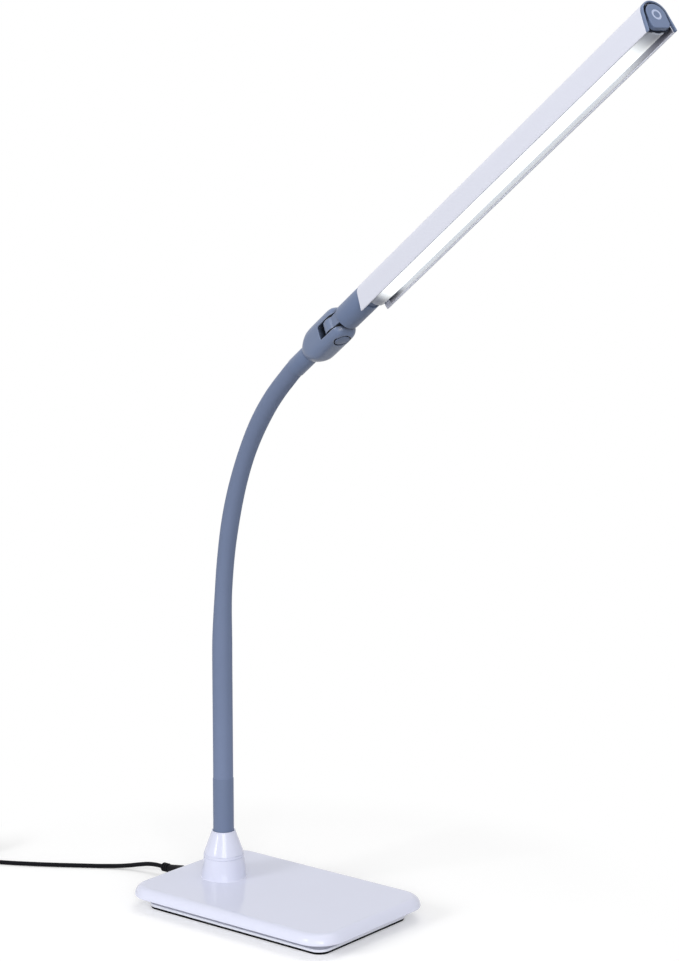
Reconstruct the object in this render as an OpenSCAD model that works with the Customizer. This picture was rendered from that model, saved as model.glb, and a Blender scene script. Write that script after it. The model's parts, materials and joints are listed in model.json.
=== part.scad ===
// Desk lamp: a weighted base, a gooseneck in ten sections, a swing knuckle and a long light bar.
// The origin is the middle of the base on the table. +X is the front, where the light bar reaches.

/* [Base] */
// Length of the base, front to back
base_length = 200; // [190:1:240]
// Width of the base
base_width = 132; // [124:1:160]
// Height of the flat top above the table
base_height = 18.5; // [18:0.5:24]
// Height of the widest line of the edge
rim_height = 11.3; // [10.8:0.1:12.5]
// Corner radius seen from above
base_corner = 22; // [19:1:30]
// Wall of the top cover
cover_wall = 2.4; // [1.8:0.1:2.8]
// How far the edge is drawn in below the rim
lip_inset = 3.6; // [3:0.1:5]
// How far the lip lies below the rim
lip_drop = 2.8; // [2.2:0.1:3.2]
// How far the foot pad stays inside the edge
foot_inset = 12.6; // [11:0.2:15]
// Thickness of the foot pad
pad_thickness = 1.6; // [1.2:0.1:2]
// Wall and floor of the bottom tray
tray_wall = 2; // [1.6:0.1:2.4]
// Height of the upright band of the tray above its underside
plinth_height = 4; // [3:0.1:4.4]
// Thickness of the iron ballast
ballast_thickness = 9; // [6:0.5:9.5]
// Thread diameter of the base screws
base_screw_d = 3; // [2.5:0.1:3.5]

/* [Socket] */
// Distance from the back of the base to the middle of the neck
neck_setback = 46; // [42:1:55]
// Diameter of the boss where it meets the collar
boss_d = 31.8; // [31:0.2:36]
// How much wider the boss is at its foot
boss_spread = 3.4; // [0.8:0.2:4]
// Fillet between the boss and the top of the base
boss_fillet = 2.5; // [2:0.5:6]
// Height of the seam between boss and collar
seam_height = 35.2; // [32:0.2:38]
// Height of the upright band of the collar
collar_band = 2.6; // [2:0.2:5]
// Height of the collar
collar_height = 18.7; // [17:0.1:24]
// Diameter of the lip at the top of the collar
collar_top_d = 18.8; // [18.6:0.1:20]
// Thread diameter of the stud that holds the neck
stud_d = 11; // [10:0.5:11.6]

/* [Neck] */
// Height of the first bending point
neck_start = 99.5; // [90:0.5:120]
// Turn of the bent neck about the upright, from the base's long axis
neck_turn = -14.7; // [-30:0.1:30]
// Length of one neck section
section_length = 36; // [32:0.5:38]
// Length of neck that stays straight before the bend
straight_length = 90; // [70:1:100]
// Lean of the neck at its upper end, from upright
neck_lean = 56.5; // [45:0.5:60]
// How sharply the bend gathers towards the top
bend_power = 1.5; // [1.3:0.1:2]
// Diameter of the stiff ferrule at the foot of the neck
ferrule_d = 16.2; // [16:0.1:16.6]
// Sleeve diameter on the lower neck
sleeve_low_d = 15.6; // [14.5:0.1:16]
// Sleeve diameter on the upper neck
sleeve_high_d = 13.5; // [13:0.1:14.4]
// Open joint between two sleeve sections
sleeve_gap = 3.2; // [3:0.1:4]
// Diameter of the bending balls
ball_d = 8; // [7:0.1:8.2]
// Wall of the cup round a ball
cup_wall = 1.1; // [0.9:0.05:1.2]
// Diameter of the rod in a neck section
rod_d = 6; // [5:0.1:6.2]
// Diameter of the short ferrule under the knuckle
tip_ferrule_d = 14.4; // [14:0.1:15]

/* [Knuckle] */
// Distance from the end of the neck to the hinge
neck_to_hinge = 62; // [60:0.2:68]
// Lean of the light bar from upright
head_lean = 56.2; // [50:0.2:60]
// How far the hinge is turned about the light bar
hinge_turn = 6; // [0:1:20]
// Size of the yoke along the hinge
yoke_depth = 24.8; // [24:0.2:26]
// Size of the yoke across the hinge
yoke_width = 20; // [19:0.2:21]
// Radius of the yoke's long edges
yoke_edge = 7.5; // [6:0.5:9]
// Length of the yoke behind the hinge
yoke_tail = 38; // [36:0.5:42]
// Diameter of the yoke where the neck enters
yoke_end_d = 16.4; // [16:0.2:17]
// Growth of the fork's radius along its shoulder, per length
yoke_slope = 0.55; // [0.45:0.05:0.9]
// Radius of the ears about the hinge
ear_radius = 12; // [11.6:0.1:12.2]
// Width of the slot in the yoke
slot_width = 10.4; // [9:0.1:11]
// Radius of the tongue's round end
barrel_radius = 10; // [9.6:0.1:10.4]
// Thickness of a friction washer
washer_thickness = 0.8; // [0.6:0.1:1]
// Diameter of the hinge bolt
bolt_d = 6; // [5:0.1:6.4]
// Diameter of the caps over the bolt
cap_d = 11; // [10.8:0.1:12]
// Thickness of the caps
cap_thickness = 1.4; // [1:0.1:1.8]
// How deep the caps lie below the yoke's side
cap_recess = 0.8; // [0.4:0.1:2]

/* [Light bar] */
// Distance from the hinge to the shoulder of the stem
stem_start = 13.5; // [13.4:0.1:15]
// Diameter of the stem
stem_d = 19.4; // [18.6:0.1:19.8]
// Diameter of the spigot that the stem turns on
spigot_d = 15; // [14:0.1:15.2]
// Distance from the hinge to the hood
hood_start = 43.5; // [42:0.5:48]
// Length of the hood
hood_length = 334; // [290:1:360]
// Radius of the hood's round back
hood_radius = 10; // [9.9:0.1:10.6]
// Width of the hood across its open edges
hood_width = 23.8; // [23.4:0.2:28]
// Distance from the bar's centre line to the open edges
hood_drop = 10.9; // [10:0.1:12]
// Wall of the hood
hood_wall = 1.2; // [1:0.05:1.3]
// Thickness of the silver lining
lining = 0.5; // [0.3:0.05:0.6]
// How far the stem reaches into the hood
stem_reach = 7; // [6.6:0.1:10]
// Diameter of the light tube
tube_d = 17; // [16:0.1:17.2]
// How far the tube hangs below the bar's centre line
tube_drop = 3.3; // [3:0.1:3.6]
// Wall of the light tube
tube_wall = 1.2; // [1:0.1:1.4]
// Number of light chips
led_count = 32; // [16:1:34]
// Length of the trim past the hood
trim_length = 2.5; // [2:0.1:4]
// Wall of the trim
trim_wall = 2; // [1.8:0.1:2.4]
// How far the button face lies inside the trim
button_recess = 1.4; // [1:0.1:1.8]
// Thickness of the button
button_thickness = 2.5; // [2:0.1:2.6]
// Distance from the bar's centre line to the button's flat foot
button_foot = 9; // [8.4:0.1:9.6]
// Radius of the corners at the button's foot
foot_corner = 3.5; // [2:0.1:5]
// Travel of the button
button_travel = 1; // [0.6:0.1:1.1]
// Outer diameter of the ring mark on the button
mark_d = 6.8; // [6:0.1:9]
// Width of the ring mark
mark_width = 1.1; // [0.8:0.1:1.6]

/* [Cord] */
// Diameter of the cord
cord_d = 3.5; // [3.4:0.1:3.5]
// Diameter of the plug body
plug_d = 10; // [9:0.1:10.4]
// Diameter of the ribbed collar behind the plug
plug_collar_d = 7.2; // [6.4:0.1:8]
// Number of layers in the coil
coil_layers = 4; // [2:2:4]
// Number of turns in the coil
coil_turns = 12; // [8:1:12]
// Radius of the outermost turn, to the middle of the cord
coil_radius = 26.7; // [26:0.1:27]
// Distance between turns that lie side by side
coil_pitch = 4; // [3.95:0.05:4.1]
// Thickness of the tie round the coil
tie_thickness = 0.6; // [0.4:0.1:0.8]
// Width of the adapter
adapter_width = 40; // [36:1:46]
// Length of the adapter
adapter_length = 58; // [50:1:70]
// Thickness of the adapter
adapter_thickness = 30; // [30:1:36]

/* [Fits] */
// Clearance of a sliding or turning fit, on the radius
run_fit = 0.05; // [0.03:0.01:0.08]
// Clearance of a fixed fit, on the radius
set_fit = 0.05; // [0.03:0.01:0.1]
// Room round a ball in its cup
ball_room = 0.3; // [0.2:0.05:0.4]
// Side room between washer and tongue
side_room = 0.15; // [0.1:0.05:0.2]

/* [Hidden] */
$fn = 64;
corner_fn = 32;
overlap = 0.5;
section_count = 10;

// Heights in the base
floor_z = pad_thickness + tray_wall;
plinth_z = pad_thickness + plinth_height;
lip_z = rim_height - lip_drop;
ceiling_z = base_height - cover_wall;
pad_margin = 0.6;
plinth_inset = foot_inset - pad_margin;
well_inset = plinth_inset + tray_wall;
hollow_inset = lip_inset + cover_wall;
edge_round = base_height - rim_height;

// Screw posts, one in each corner
post_wall = 3;
post_r = base_screw_d / 2 + post_wall;
post_margin = 2;
post_x = base_length / 2 - well_inset - post_r - post_margin;
post_y = base_width / 2 - well_inset - post_r - post_margin;
tray_boss = 2;
post_foot_z = floor_z + tray_boss;
screw_head_d = base_screw_d * 1.9;
screw_head_h = 1.4;
screw_seat = 1.6;
screw_length = 8;
screw_room = 1;

// Socket
neck_back = base_length / 2 - neck_setback;
boss_r = boss_d / 2;
boss_foot_r = boss_r + boss_spread / 2;
key_step = 3.6;
key_r = boss_r - key_step;
key_height = 2.2;
stud_r = stud_d / 2;
nut_height = 5;
nut_margin = 4;
nut_across = stud_d + 2 * nut_margin;
nut_corner_r = nut_across / 2 / cos(30);
stud_tail = 1.6;
flange_step = 1.6;
flange_r = key_r - flange_step;
flange_h = 2.5;
flange_top = seam_height + key_height + flange_h;
collar_top = seam_height + collar_height;
collar_lip_h = 3;
collar_round = 0.8;
collar_draft = 0.2;
collar_break = [0.3, 1.1];
collar_inside = 1;
ferrule_r = ferrule_d / 2;
ferrule_top = neck_start - sleeve_gap / 2;

// Ballast between the socket nut and the front posts
ballast_gap = 2.5;
ballast_back = -neck_back + nut_corner_r + ballast_gap;
ballast_front = post_x - post_r - ballast_gap;
ballast_half = post_y - post_r - ballast_gap;
ballast_corner = 4;

// Power inlet in the back of the base
jack_y = 10;
jack_size = [12, 9, 9];
jack_z = floor_z + jack_size[2] / 2;
jack_x = -base_length / 2 + well_inset;
jack_bore_d = 5.6;
jack_bore_depth = 9.6;
jack_pin_d = 1.9;
jack_pin_length = 7.5;
plug_room = 0.6;
plug_notch_d = plug_d + 2 * plug_room;

// Neck
cup_r = ball_d / 2 + ball_room + cup_wall;
cup_rise = 1;
cup_depth = 6.5;
cup_floor = 2;
last_cup_back = 4;
sleeve_bore_r = cup_r + 2 * set_fit;
taper_from = 95;
taper_to = 145;
neck_length = section_count * section_length;
post_neck_step = 0.6;
post_neck_r = cup_r + post_neck_step;
tip_gap = 0.4;
tip_trim = 1.2;
tip_stud = 26;
knee_d = rod_d + 1;
knee_back = 2.5;

function sleeve_r(s) =
    let (share = min(1, max(0, (s - taper_from) / (taper_to - taper_from))))
    (sleeve_low_d + (sleeve_high_d - sleeve_low_d) * share) / 2;

// The lean at a place along the neck, and the bending points that follow from it
function lean_at(s) =
    neck_lean * pow(max(0, s - straight_length) / (neck_length - straight_length), bend_power);
function section_lean(k) = lean_at((k + 0.5) * section_length);
function step_along(lean) = [sin(lean) * cos(neck_turn), sin(lean) * sin(neck_turn), cos(lean)];
function neck_point(k) = k == 0
    ? [-neck_back, 0, neck_start]
    : neck_point(k - 1) + section_length * step_along(section_lean(k - 1));

neck_end = neck_point(section_count);
hinge_point = neck_end + neck_to_hinge * step_along(head_lean);

// Knuckle
tongue_width = slot_width - 2 * (washer_thickness + side_room);
shoulder_half = 8.4;
slot_end_room = 2.4;
slot_back = barrel_radius + slot_end_room;
yoke_bore_depth = 12;
cap_face = yoke_depth / 2 - cap_recess;
cap_seat = cap_face - cap_thickness;
cap_margin = 0.8;
bolt_head_d = cap_d - 2 * cap_margin;
bolt_head_h = 2.4;
bolt_head_seat = cap_seat - bolt_head_h;
washer_margin = 5;
washer_d = bolt_d + 2 * washer_margin;
shoulder_gap = 0.2;
spigot_foot = 1;
spigot_short = 1.8;
spigot_end = hood_start + stem_reach - spigot_short;
groove_in = 2.6;
groove_z = hood_start + groove_in;
groove_width = 2.2;
groove_depth = 1.6;
groove_room = 0.3;
grub_d = 1.6;
grub_depth = 0.4;
seat_room = 0.3;
yoke_chamfer = 0.6;

// Light bar, measured along its centre line from the hinge
hood_end = hood_start + hood_length;
tube_start = hood_start + stem_reach;
tube_bore_r = tube_d / 2 - tube_wall;
core_r = tube_bore_r - set_fit;
core_flat = 1.5;
tang_length = 17;
plug_in = 8;
bulkhead = 2;
nose_depth = 8;
end_room = 0.2;
tube_end = hood_end - nose_depth - end_room;
sink_start = tube_start + tang_length + end_room;
sink_end = tube_end - plug_in - end_room;
lining_short = 0.4;
board_size = [1, 13];
led_size = [2.8, 3.5, 0.9];
led_margin = 8;
trim_end = hood_end + trim_length;
trim_bore_r = hood_radius - trim_wall;
button_room = 0.2;
button_r = trim_bore_r - button_room;
button_front = trim_end - button_recess;
button_back = button_front - button_thickness;
mark_depth = 0.4;
switch_board_z = hood_end - nose_depth + bulkhead;
switch_board_h = 1.2;
switch_board_margin = 1.6;
switch_room = 0.2;
switch_top = button_back - button_travel - switch_room;
switch_size = 6;

// Cord: route from the plug to the coil, then from the coil to the adapter, in points chosen by hand
cord_r = cord_d / 2;
plug_gap = 0.3;
plug_edge = 0.6;
plug_step = 4;
barrel_short = 0.6;
pin_room = 0.3;
plug_body_length = 26;
plug_taper_length = 10;
plug_collar_length = 6;
plug_ribs = 3;
plug_rib_depth = 0.7;
coil_centre = [-308, -36];
tie_width = 8;
tie_room = [0.3, 0.1];
coil_rest = tie_thickness + tie_room[1];
coil_low = cord_r + coil_rest;
coil_more = 45;
coil_rings = 24;
coil_sweep = coil_turns * 360 + coil_more;
layer_sweep = coil_sweep / coil_layers;
coil_inner = coil_radius - coil_pitch * layer_sweep / 360;
coil_from = 270;
run_route = [
    [-128.3, 10, 8.1], [-136, 10, 8], [-144, 9.2, 7.2], [-152, 7.4, 5.6], [-160, 4.6, 3.9], [-168, 1, 2.7],
    [-176, -3.4, 2.1], [-184, -8.4, 1.8], [-192, -13.8, 1.8], [-200, -19.2, 1.8], [-208, -24.6, 1.8],
    [-216, -29.8, 1.8], [-224, -34.8, 1.8], [-232, -39.6, 1.8], [-240, -44.2, 1.8], [-248, -48.6, 1.8],
    [-256, -52.8, 1.9], [-264, -56.6, 2], [-272, -60, 2.2], [-280, -62.6, 2.4], [-288, -64.2, 2.45],
    [-296.6, -64.4, 2.45]
];
tail_route = [[-334.5, -49.2, 14.5], [-339.5, -46.4, 14.7], [-345, -44.6, 14.9], [-351, -44, 15]];
adapter_relief_length = 18;
adapter_relief_d = 7;
relief_gap = 0.3;
relief_wall = 0.6;
adapter_round = 5;
adapter_face = tail_route[len(tail_route) - 1][0] - adapter_relief_length;
adapter_shift = 10;
adapter_y = tail_route[len(tail_route) - 1][1] + adapter_shift;
adapter_far = adapter_face - adapter_width;
blade_size = [1.5, 16, 6.3];
blade_spacing = 12.7;

charcoal = [0.08, 0.08, 0.09];
slate = [0.44, 0.5, 0.6];
lavender = [0.88, 0.88, 0.94];
steel = [0.72, 0.73, 0.75];

// Round corners: the same lathed corner in the four corners of the base, joined
module base_slab(outline, sides = corner_fn) {
    hull()
        for (x = [-1, 1], y = [-1, 1])
            translate([x * (base_length / 2 - base_corner), y * (base_width / 2 - base_corner), 0])
                rotate_extrude($fn = sides)
                    polygon(outline);
}

module base_plate(inset, from, to) {
    base_slab([[0, from], [base_corner - inset, from], [base_corner - inset, to], [0, to]]);
}

module at_posts() {
    for (x = [-1, 1], y = [-1, 1])
        translate([x * post_x, y * post_y, 0])
            children();
}

module at_jack() {
    translate([jack_x, jack_y, jack_z])
        rotate([0, -90, 0])
            children();
}

module at_neck() {
    translate([-neck_back, 0, 0])
        children();
}

module on_section(k) {
    translate(neck_point(k))
        rotate([0, section_lean(k), neck_turn])
            children();
}

// The light bar's own frame: +Z runs to its tip and +X is the side that the light leaves
module on_bar() {
    translate(hinge_point)
        rotate([0, head_lean, neck_turn])
            children();
}

// The tube's frame: the bar's, moved towards the open side
module on_tube() {
    on_bar()
        translate([tube_drop, 0, 0])
            children();
}

// The knuckle's frame: +X is the hinge, turned about the light bar
module on_hinge() {
    on_bar()
        rotate([0, 0, -hinge_turn])
            children();
}

module along_hinge(from, to) {
    translate([from, 0, 0])
        rotate([0, 90, 0])
            linear_extrude(to - from)
                children();
}

module lift(from, to) {
    translate([0, 0, from])
        linear_extrude(to - from)
            children();
}

module plug_notch() {
    at_jack()
        cylinder(d = plug_notch_d, h = well_inset + overlap);
}

module base_cover() {
    steps = 8;
    outline = concat(
        [[0, lip_z]],
        [for (i = [0:steps / 2]) let (a = 90 - 90 * i / (steps / 2))
            [base_corner - lip_inset + lip_inset * cos(a), rim_height - lip_drop * sin(a)]],
        [for (i = [1:steps]) let (a = 90 * i / steps)
            [base_corner - edge_round + edge_round * cos(a), rim_height + edge_round * sin(a)]],
        [[0, base_height]]
    );
    inner_round = ceiling_z - rim_height;
    inner_r = base_corner - hollow_inset;
    inner = concat(
        [[0, lip_z - overlap], [inner_r, lip_z - overlap]],
        [for (i = [0:steps / 2]) let (a = 90 * i / (steps / 2))
            [inner_r - inner_round + inner_round * cos(a), rim_height + inner_round * sin(a)]],
        [[0, ceiling_z]]
    );
    color(lavender)
        difference() {
            union() {
                difference() {
                    base_slab(outline);
                    base_slab(inner);
                }
                at_posts()
                    lift(post_foot_z, ceiling_z + overlap)
                        circle(r = post_r);
                at_neck()
                    socket_boss();
            }
            at_posts()
                lift(post_foot_z - overlap, post_foot_z + screw_length)
                    circle(d = base_screw_d + 2 * set_fit);
            at_neck()
                lift(ceiling_z - overlap, collar_top)
                    circle(r = stud_r + set_fit);
            plug_notch();
        }
}

module socket_boss() {
    steps = 6;
    fillet = [for (i = [0:steps]) let (a = 90 * i / steps)
        [boss_foot_r + boss_fillet * (1 - sin(a)), base_height + boss_fillet * (1 - cos(a))]];
    rotate_extrude()
        polygon(concat(
            [[0, ceiling_z], [boss_foot_r + boss_fillet, ceiling_z]],
            fillet,
            [[boss_r, seam_height], [key_r, seam_height], [key_r, seam_height + key_height],
             [0, seam_height + key_height]]
        ));
}

module base_tray() {
    color(lavender)
        difference() {
            union() {
                difference() {
                    union() {
                        base_plate(plinth_inset, pad_thickness, plinth_z);
                        base_slab([[0, plinth_z - overlap], [base_corner - plinth_inset, plinth_z - overlap],
                                   [base_corner - lip_inset, lip_z], [0, lip_z]]);
                    }
                    base_plate(well_inset, floor_z, lip_z + overlap);
                }
                at_posts()
                    lift(floor_z - overlap, post_foot_z)
                        circle(r = post_r);
            }
            at_posts() {
                lift(pad_thickness - overlap, post_foot_z + overlap)
                    circle(d = base_screw_d + 2 * set_fit);
                lift(pad_thickness - overlap, pad_thickness + screw_seat)
                    circle(d = screw_head_d + 4 * set_fit);
            }
            plug_notch();
        }
}

module base_screws() {
    color(steel)
        at_posts() {
            lift(pad_thickness + screw_seat - screw_head_h, pad_thickness + screw_seat)
                circle(d = screw_head_d);
            lift(pad_thickness + screw_seat - overlap, post_foot_z + screw_length - screw_room)
                circle(d = base_screw_d);
        }
}

module foot_pad() {
    color(charcoal)
        base_plate(foot_inset, 0, pad_thickness);
}

module ballast() {
    long = ballast_front - ballast_back;
    color([0.3, 0.3, 0.32])
        translate([ballast_back, -ballast_half, floor_z])
            difference() {
                cube([long, 2 * ballast_half, ballast_thickness]);
                for (x = [0, long], y = [0, 2 * ballast_half])
                    translate([x, y, -overlap])
                        rotate([0, 0, 45])
                            linear_extrude(ballast_thickness + 2 * overlap)
                                square(ballast_corner * sqrt(2), center = true);
            }
}

module dc_jack() {
    color(charcoal) {
        difference() {
            translate([jack_x, jack_y - jack_size[1] / 2, floor_z])
                cube(jack_size);
            at_jack()
                lift(-jack_bore_depth, overlap)
                    circle(d = jack_bore_d);
        }
        at_jack()
            lift(-jack_bore_depth - overlap, jack_pin_length - jack_bore_depth)
                circle(d = jack_pin_d);
    }
}

module neck_stud() {
    color(steel)
        at_neck()
            difference() {
                union() {
                    lift(ceiling_z - nut_height - stud_tail, flange_top)
                        circle(r = stud_r);
                    lift(seam_height + key_height, flange_top)
                        circle(r = flange_r);
                    lift(flange_top - overlap, neck_start - cup_depth - cup_floor)
                        circle(r = post_neck_r);
                    lift(neck_start - cup_depth - cup_floor - overlap, neck_start + cup_rise)
                        circle(r = cup_r);
                }
                translate([0, 0, neck_start])
                    sphere(d = ball_d + 2 * ball_room);
            }
}

module neck_nut() {
    color(steel)
        at_neck()
            lift(ceiling_z - nut_height, ceiling_z)
                difference() {
                    circle(r = nut_corner_r, $fn = 6);
                    circle(r = stud_r + set_fit);
                }
}

module neck_collar() {
    top_r = collar_top_d / 2;
    bore_r = ferrule_r + 2 * set_fit;
    band_r = boss_r - collar_draft;
    color(lavender)
        at_neck()
            rotate_extrude()
                polygon([
                    [key_r + set_fit, seam_height], [boss_r, seam_height],
                    [band_r, seam_height + collar_band],
                    [band_r - collar_break[0], seam_height + collar_band + collar_break[1]],
                    [top_r, collar_top - collar_round], [top_r - collar_round / 2, collar_top],
                    [bore_r, collar_top], [bore_r, collar_top - collar_lip_h],
                    [key_r + set_fit, seam_height + collar_band + collar_inside]
                ]);
}

module neck_ferrule_lower() {
    color(slate)
        at_neck()
            lift(flange_top, ferrule_top)
                difference() {
                    circle(r = ferrule_r);
                    circle(r = post_neck_r + set_fit);
                }
}

// One section of the soft sleeve, open at both ends where the neck bends
module neck_sleeve(k) {
    last = k == section_count - 1;
    from = sleeve_gap / 2;
    to = section_length - (last ? tip_trim : sleeve_gap / 2);
    color(slate)
        on_section(k)
            difference() {
                translate([0, 0, from])
                    cylinder(r1 = sleeve_r(k * section_length + from), r2 = sleeve_r(k * section_length + to),
                             h = to - from);
                lift(from - overlap, to + overlap)
                    circle(r = sleeve_bore_r);
            }
}

// One link inside the sleeve: a ball below, a rod, and the cup for the next ball
module neck_core(k) {
    last = k == section_count - 1;
    color(steel) {
        on_section(k)
            difference() {
                union() {
                    sphere(d = ball_d);
                    lift(0, section_length - (last ? 0 : cup_depth - overlap))
                        circle(d = rod_d);
                    lift(section_length - cup_depth - (last ? last_cup_back : 0),
                         section_length + (last ? -last_cup_back : cup_rise))
                        circle(r = cup_r);
                }
                if (!last)
                    translate([0, 0, section_length])
                        sphere(d = ball_d + 2 * ball_room);
            }
        if (last)
            translate(neck_end)
                rotate([0, head_lean, neck_turn])
                    lift(-knee_back, tip_stud)
                        circle(d = knee_d);
    }
}

module neck_ferrule_upper() {
    color(slate)
        on_bar()
            lift(tip_gap - neck_to_hinge, yoke_bore_depth - yoke_tail)
                difference() {
                    circle(d = tip_ferrule_d);
                    circle(d = knee_d + 2 * set_fit);
                }
}

module yoke_section() {
    x = yoke_depth / 2 - yoke_edge;
    y = yoke_width / 2 - yoke_edge;
    square([yoke_depth, 2 * y], center = true);
    square([2 * x, yoke_width], center = true);
    for (i = [-1, 1], j = [-1, 1])
        translate([i * x, j * y])
            circle(r = yoke_edge);
}

module tilt_yoke() {
    full_r = norm([yoke_depth / 2 - yoke_edge, yoke_width / 2 - yoke_edge]) + yoke_edge;
    end_r = yoke_end_d / 2;
    shoulder = (full_r - end_r) / yoke_slope;
    body = [
        [0, -yoke_tail], [end_r - yoke_chamfer, -yoke_tail], [end_r, yoke_chamfer - yoke_tail],
        [full_r, yoke_chamfer - yoke_tail + shoulder], [full_r, ear_radius + overlap], [0, ear_radius + overlap]
    ];
    color(slate)
        on_hinge()
            difference() {
                intersection() {
                    rotate_extrude()
                        polygon(body);
                    lift(-yoke_tail - overlap, ear_radius + overlap)
                        yoke_section();
                    union() {
                        along_hinge(-yoke_depth, yoke_depth)
                            circle(r = ear_radius);
                        translate([-yoke_depth, -yoke_depth, -2 * yoke_tail])
                            cube([2 * yoke_depth, 2 * yoke_depth, 2 * yoke_tail]);
                    }
                }
                translate([-slot_width / 2, -yoke_width, -slot_back])
                    cube([slot_width, 2 * yoke_width, slot_back + 2 * ear_radius]);
                lift(-yoke_tail - overlap, yoke_bore_depth - yoke_tail)
                    circle(d = tip_ferrule_d + 2 * set_fit);
                along_hinge(-yoke_depth, yoke_depth)
                    circle(d = bolt_d + 2 * set_fit);
                for (side = [0, 1])
                    mirror([side, 0, 0]) {
                        along_hinge(cap_seat, yoke_depth)
                            circle(d = cap_d + 2 * set_fit);
                        along_hinge(bolt_head_seat, cap_seat + overlap)
                            circle(d = bolt_head_d + 2 * set_fit);
                    }
            }
}

module pivot_bolt() {
    color(steel)
        on_hinge() {
            along_hinge(-cap_seat, cap_seat)
                circle(d = bolt_d);
            along_hinge(bolt_head_seat, cap_seat)
                circle(d = bolt_head_d);
        }
}

module pivot_nut() {
    color(steel)
        on_hinge()
            along_hinge(-cap_seat, -bolt_head_seat)
                difference() {
                    circle(d = bolt_head_d, $fn = 6);
                    circle(d = bolt_d + 2 * set_fit);
                }
}

module pivot_caps() {
    color(slate)
        on_hinge()
            for (side = [0, 1])
                mirror([side, 0, 0])
                    along_hinge(cap_seat, cap_face)
                        circle(d = cap_d);
}

module friction_washers() {
    color([0.85, 0.84, 0.78])
        on_hinge()
            for (side = [0, 1])
                mirror([side, 0, 0])
                    along_hinge(slot_width / 2 - washer_thickness, slot_width / 2)
                        difference() {
                            circle(d = washer_d);
                            circle(d = bolt_d + 2 * set_fit);
                        }
}

module knuckle_tongue() {
    color(slate)
        on_hinge()
            difference() {
                union() {
                    along_hinge(-tongue_width / 2, tongue_width / 2)
                        circle(r = barrel_radius);
                    translate([-tongue_width / 2, -shoulder_half, 0])
                        cube([tongue_width, 2 * shoulder_half, stem_start - shoulder_gap]);
                    lift(stem_start - spigot_foot, spigot_end)
                        circle(d = spigot_d);
                }
                along_hinge(-slot_width, slot_width)
                    circle(d = bolt_d + 2 * run_fit);
                lift(groove_z - groove_width / 2, groove_z + groove_width / 2)
                    difference() {
                        circle(d = spigot_d + 2 * overlap);
                        circle(d = spigot_d - 2 * groove_depth);
                    }
            }
}

module half_round(radius) {
    intersection() {
        circle(r = radius);
        translate([-2 * radius - core_flat, -radius])
            square(2 * radius);
    }
}

module head_stem() {
    seat_r = hood_radius - hood_wall - set_fit;
    color(slate)
        on_bar()
            difference() {
                union() {
                    lift(stem_start, hood_start)
                        circle(d = stem_d);
                    lift(hood_start - overlap, tube_start)
                        circle(r = seat_r);
                    translate([tube_drop, 0, 0])
                        lift(tube_start - overlap, tube_start + tang_length)
                            half_round(core_r);
                }
                lift(stem_start - overlap, spigot_end + seat_room)
                    circle(d = spigot_d + 2 * run_fit);
                translate([0, 0, groove_z])
                    rotate([0, -90, 0])
                        cylinder(d = grub_d + 2 * set_fit, h = 2 * seat_r);
            }
}

module swivel_screw() {
    from = spigot_d / 2 - groove_depth + groove_room;
    to = hood_radius - hood_wall - grub_depth;
    color(steel)
        on_bar()
            translate([-from, 0, groove_z])
                rotate([0, -90, 0])
                    cylinder(d = grub_d, h = to - from);
}

// The hood seen along the bar: a round back whose sides run straight on to the open edges
module hood_outline(inset, past = 0) {
    half = hood_width / 2;
    reach = norm([hood_drop, half]);
    touch = atan2(half, hood_drop) + acos(hood_radius / reach);
    r = hood_radius - inset;
    start = r * [cos(touch), sin(touch)];
    slope = [sin(touch), -cos(touch)];
    edge = start + slope * (hood_drop + past - start[0]) / slope[0];
    steps = 36;
    back = [for (i = [0:steps]) let (a = touch + (360 - 2 * touch) * i / steps) r * [cos(a), sin(a)]];
    polygon(concat([edge], back, [[edge[0], -edge[1]]]));
}

module hood() {
    color(lavender)
        on_bar()
            lift(hood_start, hood_end)
                difference() {
                    hood_outline(0);
                    hood_outline(hood_wall, overlap);
                }
}

module reflector() {
    outer = hood_wall + set_fit;
    color([0.8, 0.82, 0.84])
        on_bar()
            lift(tube_start + end_room, hood_end - nose_depth)
                difference() {
                    hood_outline(outer, -lining_short);
                    hood_outline(outer + lining, overlap);
                }
}

module light_tube() {
    color([0.97, 0.98, 1])
        on_tube()
            lift(tube_start, tube_end)
                difference() {
                    circle(d = tube_d);
                    circle(r = tube_bore_r);
                }
}

module heat_sink() {
    color(steel)
        on_tube()
            lift(sink_start, sink_end)
                half_round(core_r);
}

module led_board() {
    color([0.92, 0.93, 0.92])
        on_tube()
            translate([-core_flat, -board_size[1] / 2, sink_start])
                cube([board_size[0], board_size[1], sink_end - sink_start]);
}

module leds() {
    first = sink_start + led_margin;
    pitch = (sink_end - sink_start - 2 * led_margin) / (led_count - 1);
    color([1, 0.93, 0.6])
        on_tube()
            for (i = [0:led_count - 1])
                translate([board_size[0] - core_flat, -led_size[0] / 2, first + i * pitch - led_size[1] / 2])
                    cube([led_size[2], led_size[0], led_size[1]]);
}

module end_trim() {
    inside = hood_wall + set_fit;
    color(slate)
        on_bar() {
            lift(hood_end, trim_end)
                difference() {
                    hood_outline(0);
                    hood_outline(trim_wall, overlap);
                }
            lift(hood_end - nose_depth, hood_end + overlap)
                difference() {
                    hood_outline(inside);
                    hood_outline(trim_wall, overlap);
                }
            lift(hood_end - nose_depth, switch_board_z)
                circle(r = trim_bore_r + 2 * set_fit);
            translate([tube_drop, 0, 0])
                lift(tube_end - plug_in, switch_board_z)
                    circle(r = core_r);
        }
}

module switch_board() {
    color([0.16, 0.4, 0.24])
        on_bar()
            lift(switch_board_z, switch_board_z + switch_board_h)
                circle(r = trim_bore_r - switch_board_margin);
}

module tact_switch() {
    color(charcoal)
        on_bar()
            lift(switch_board_z + switch_board_h, switch_top)
                square(switch_size, center = true);
}

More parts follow.
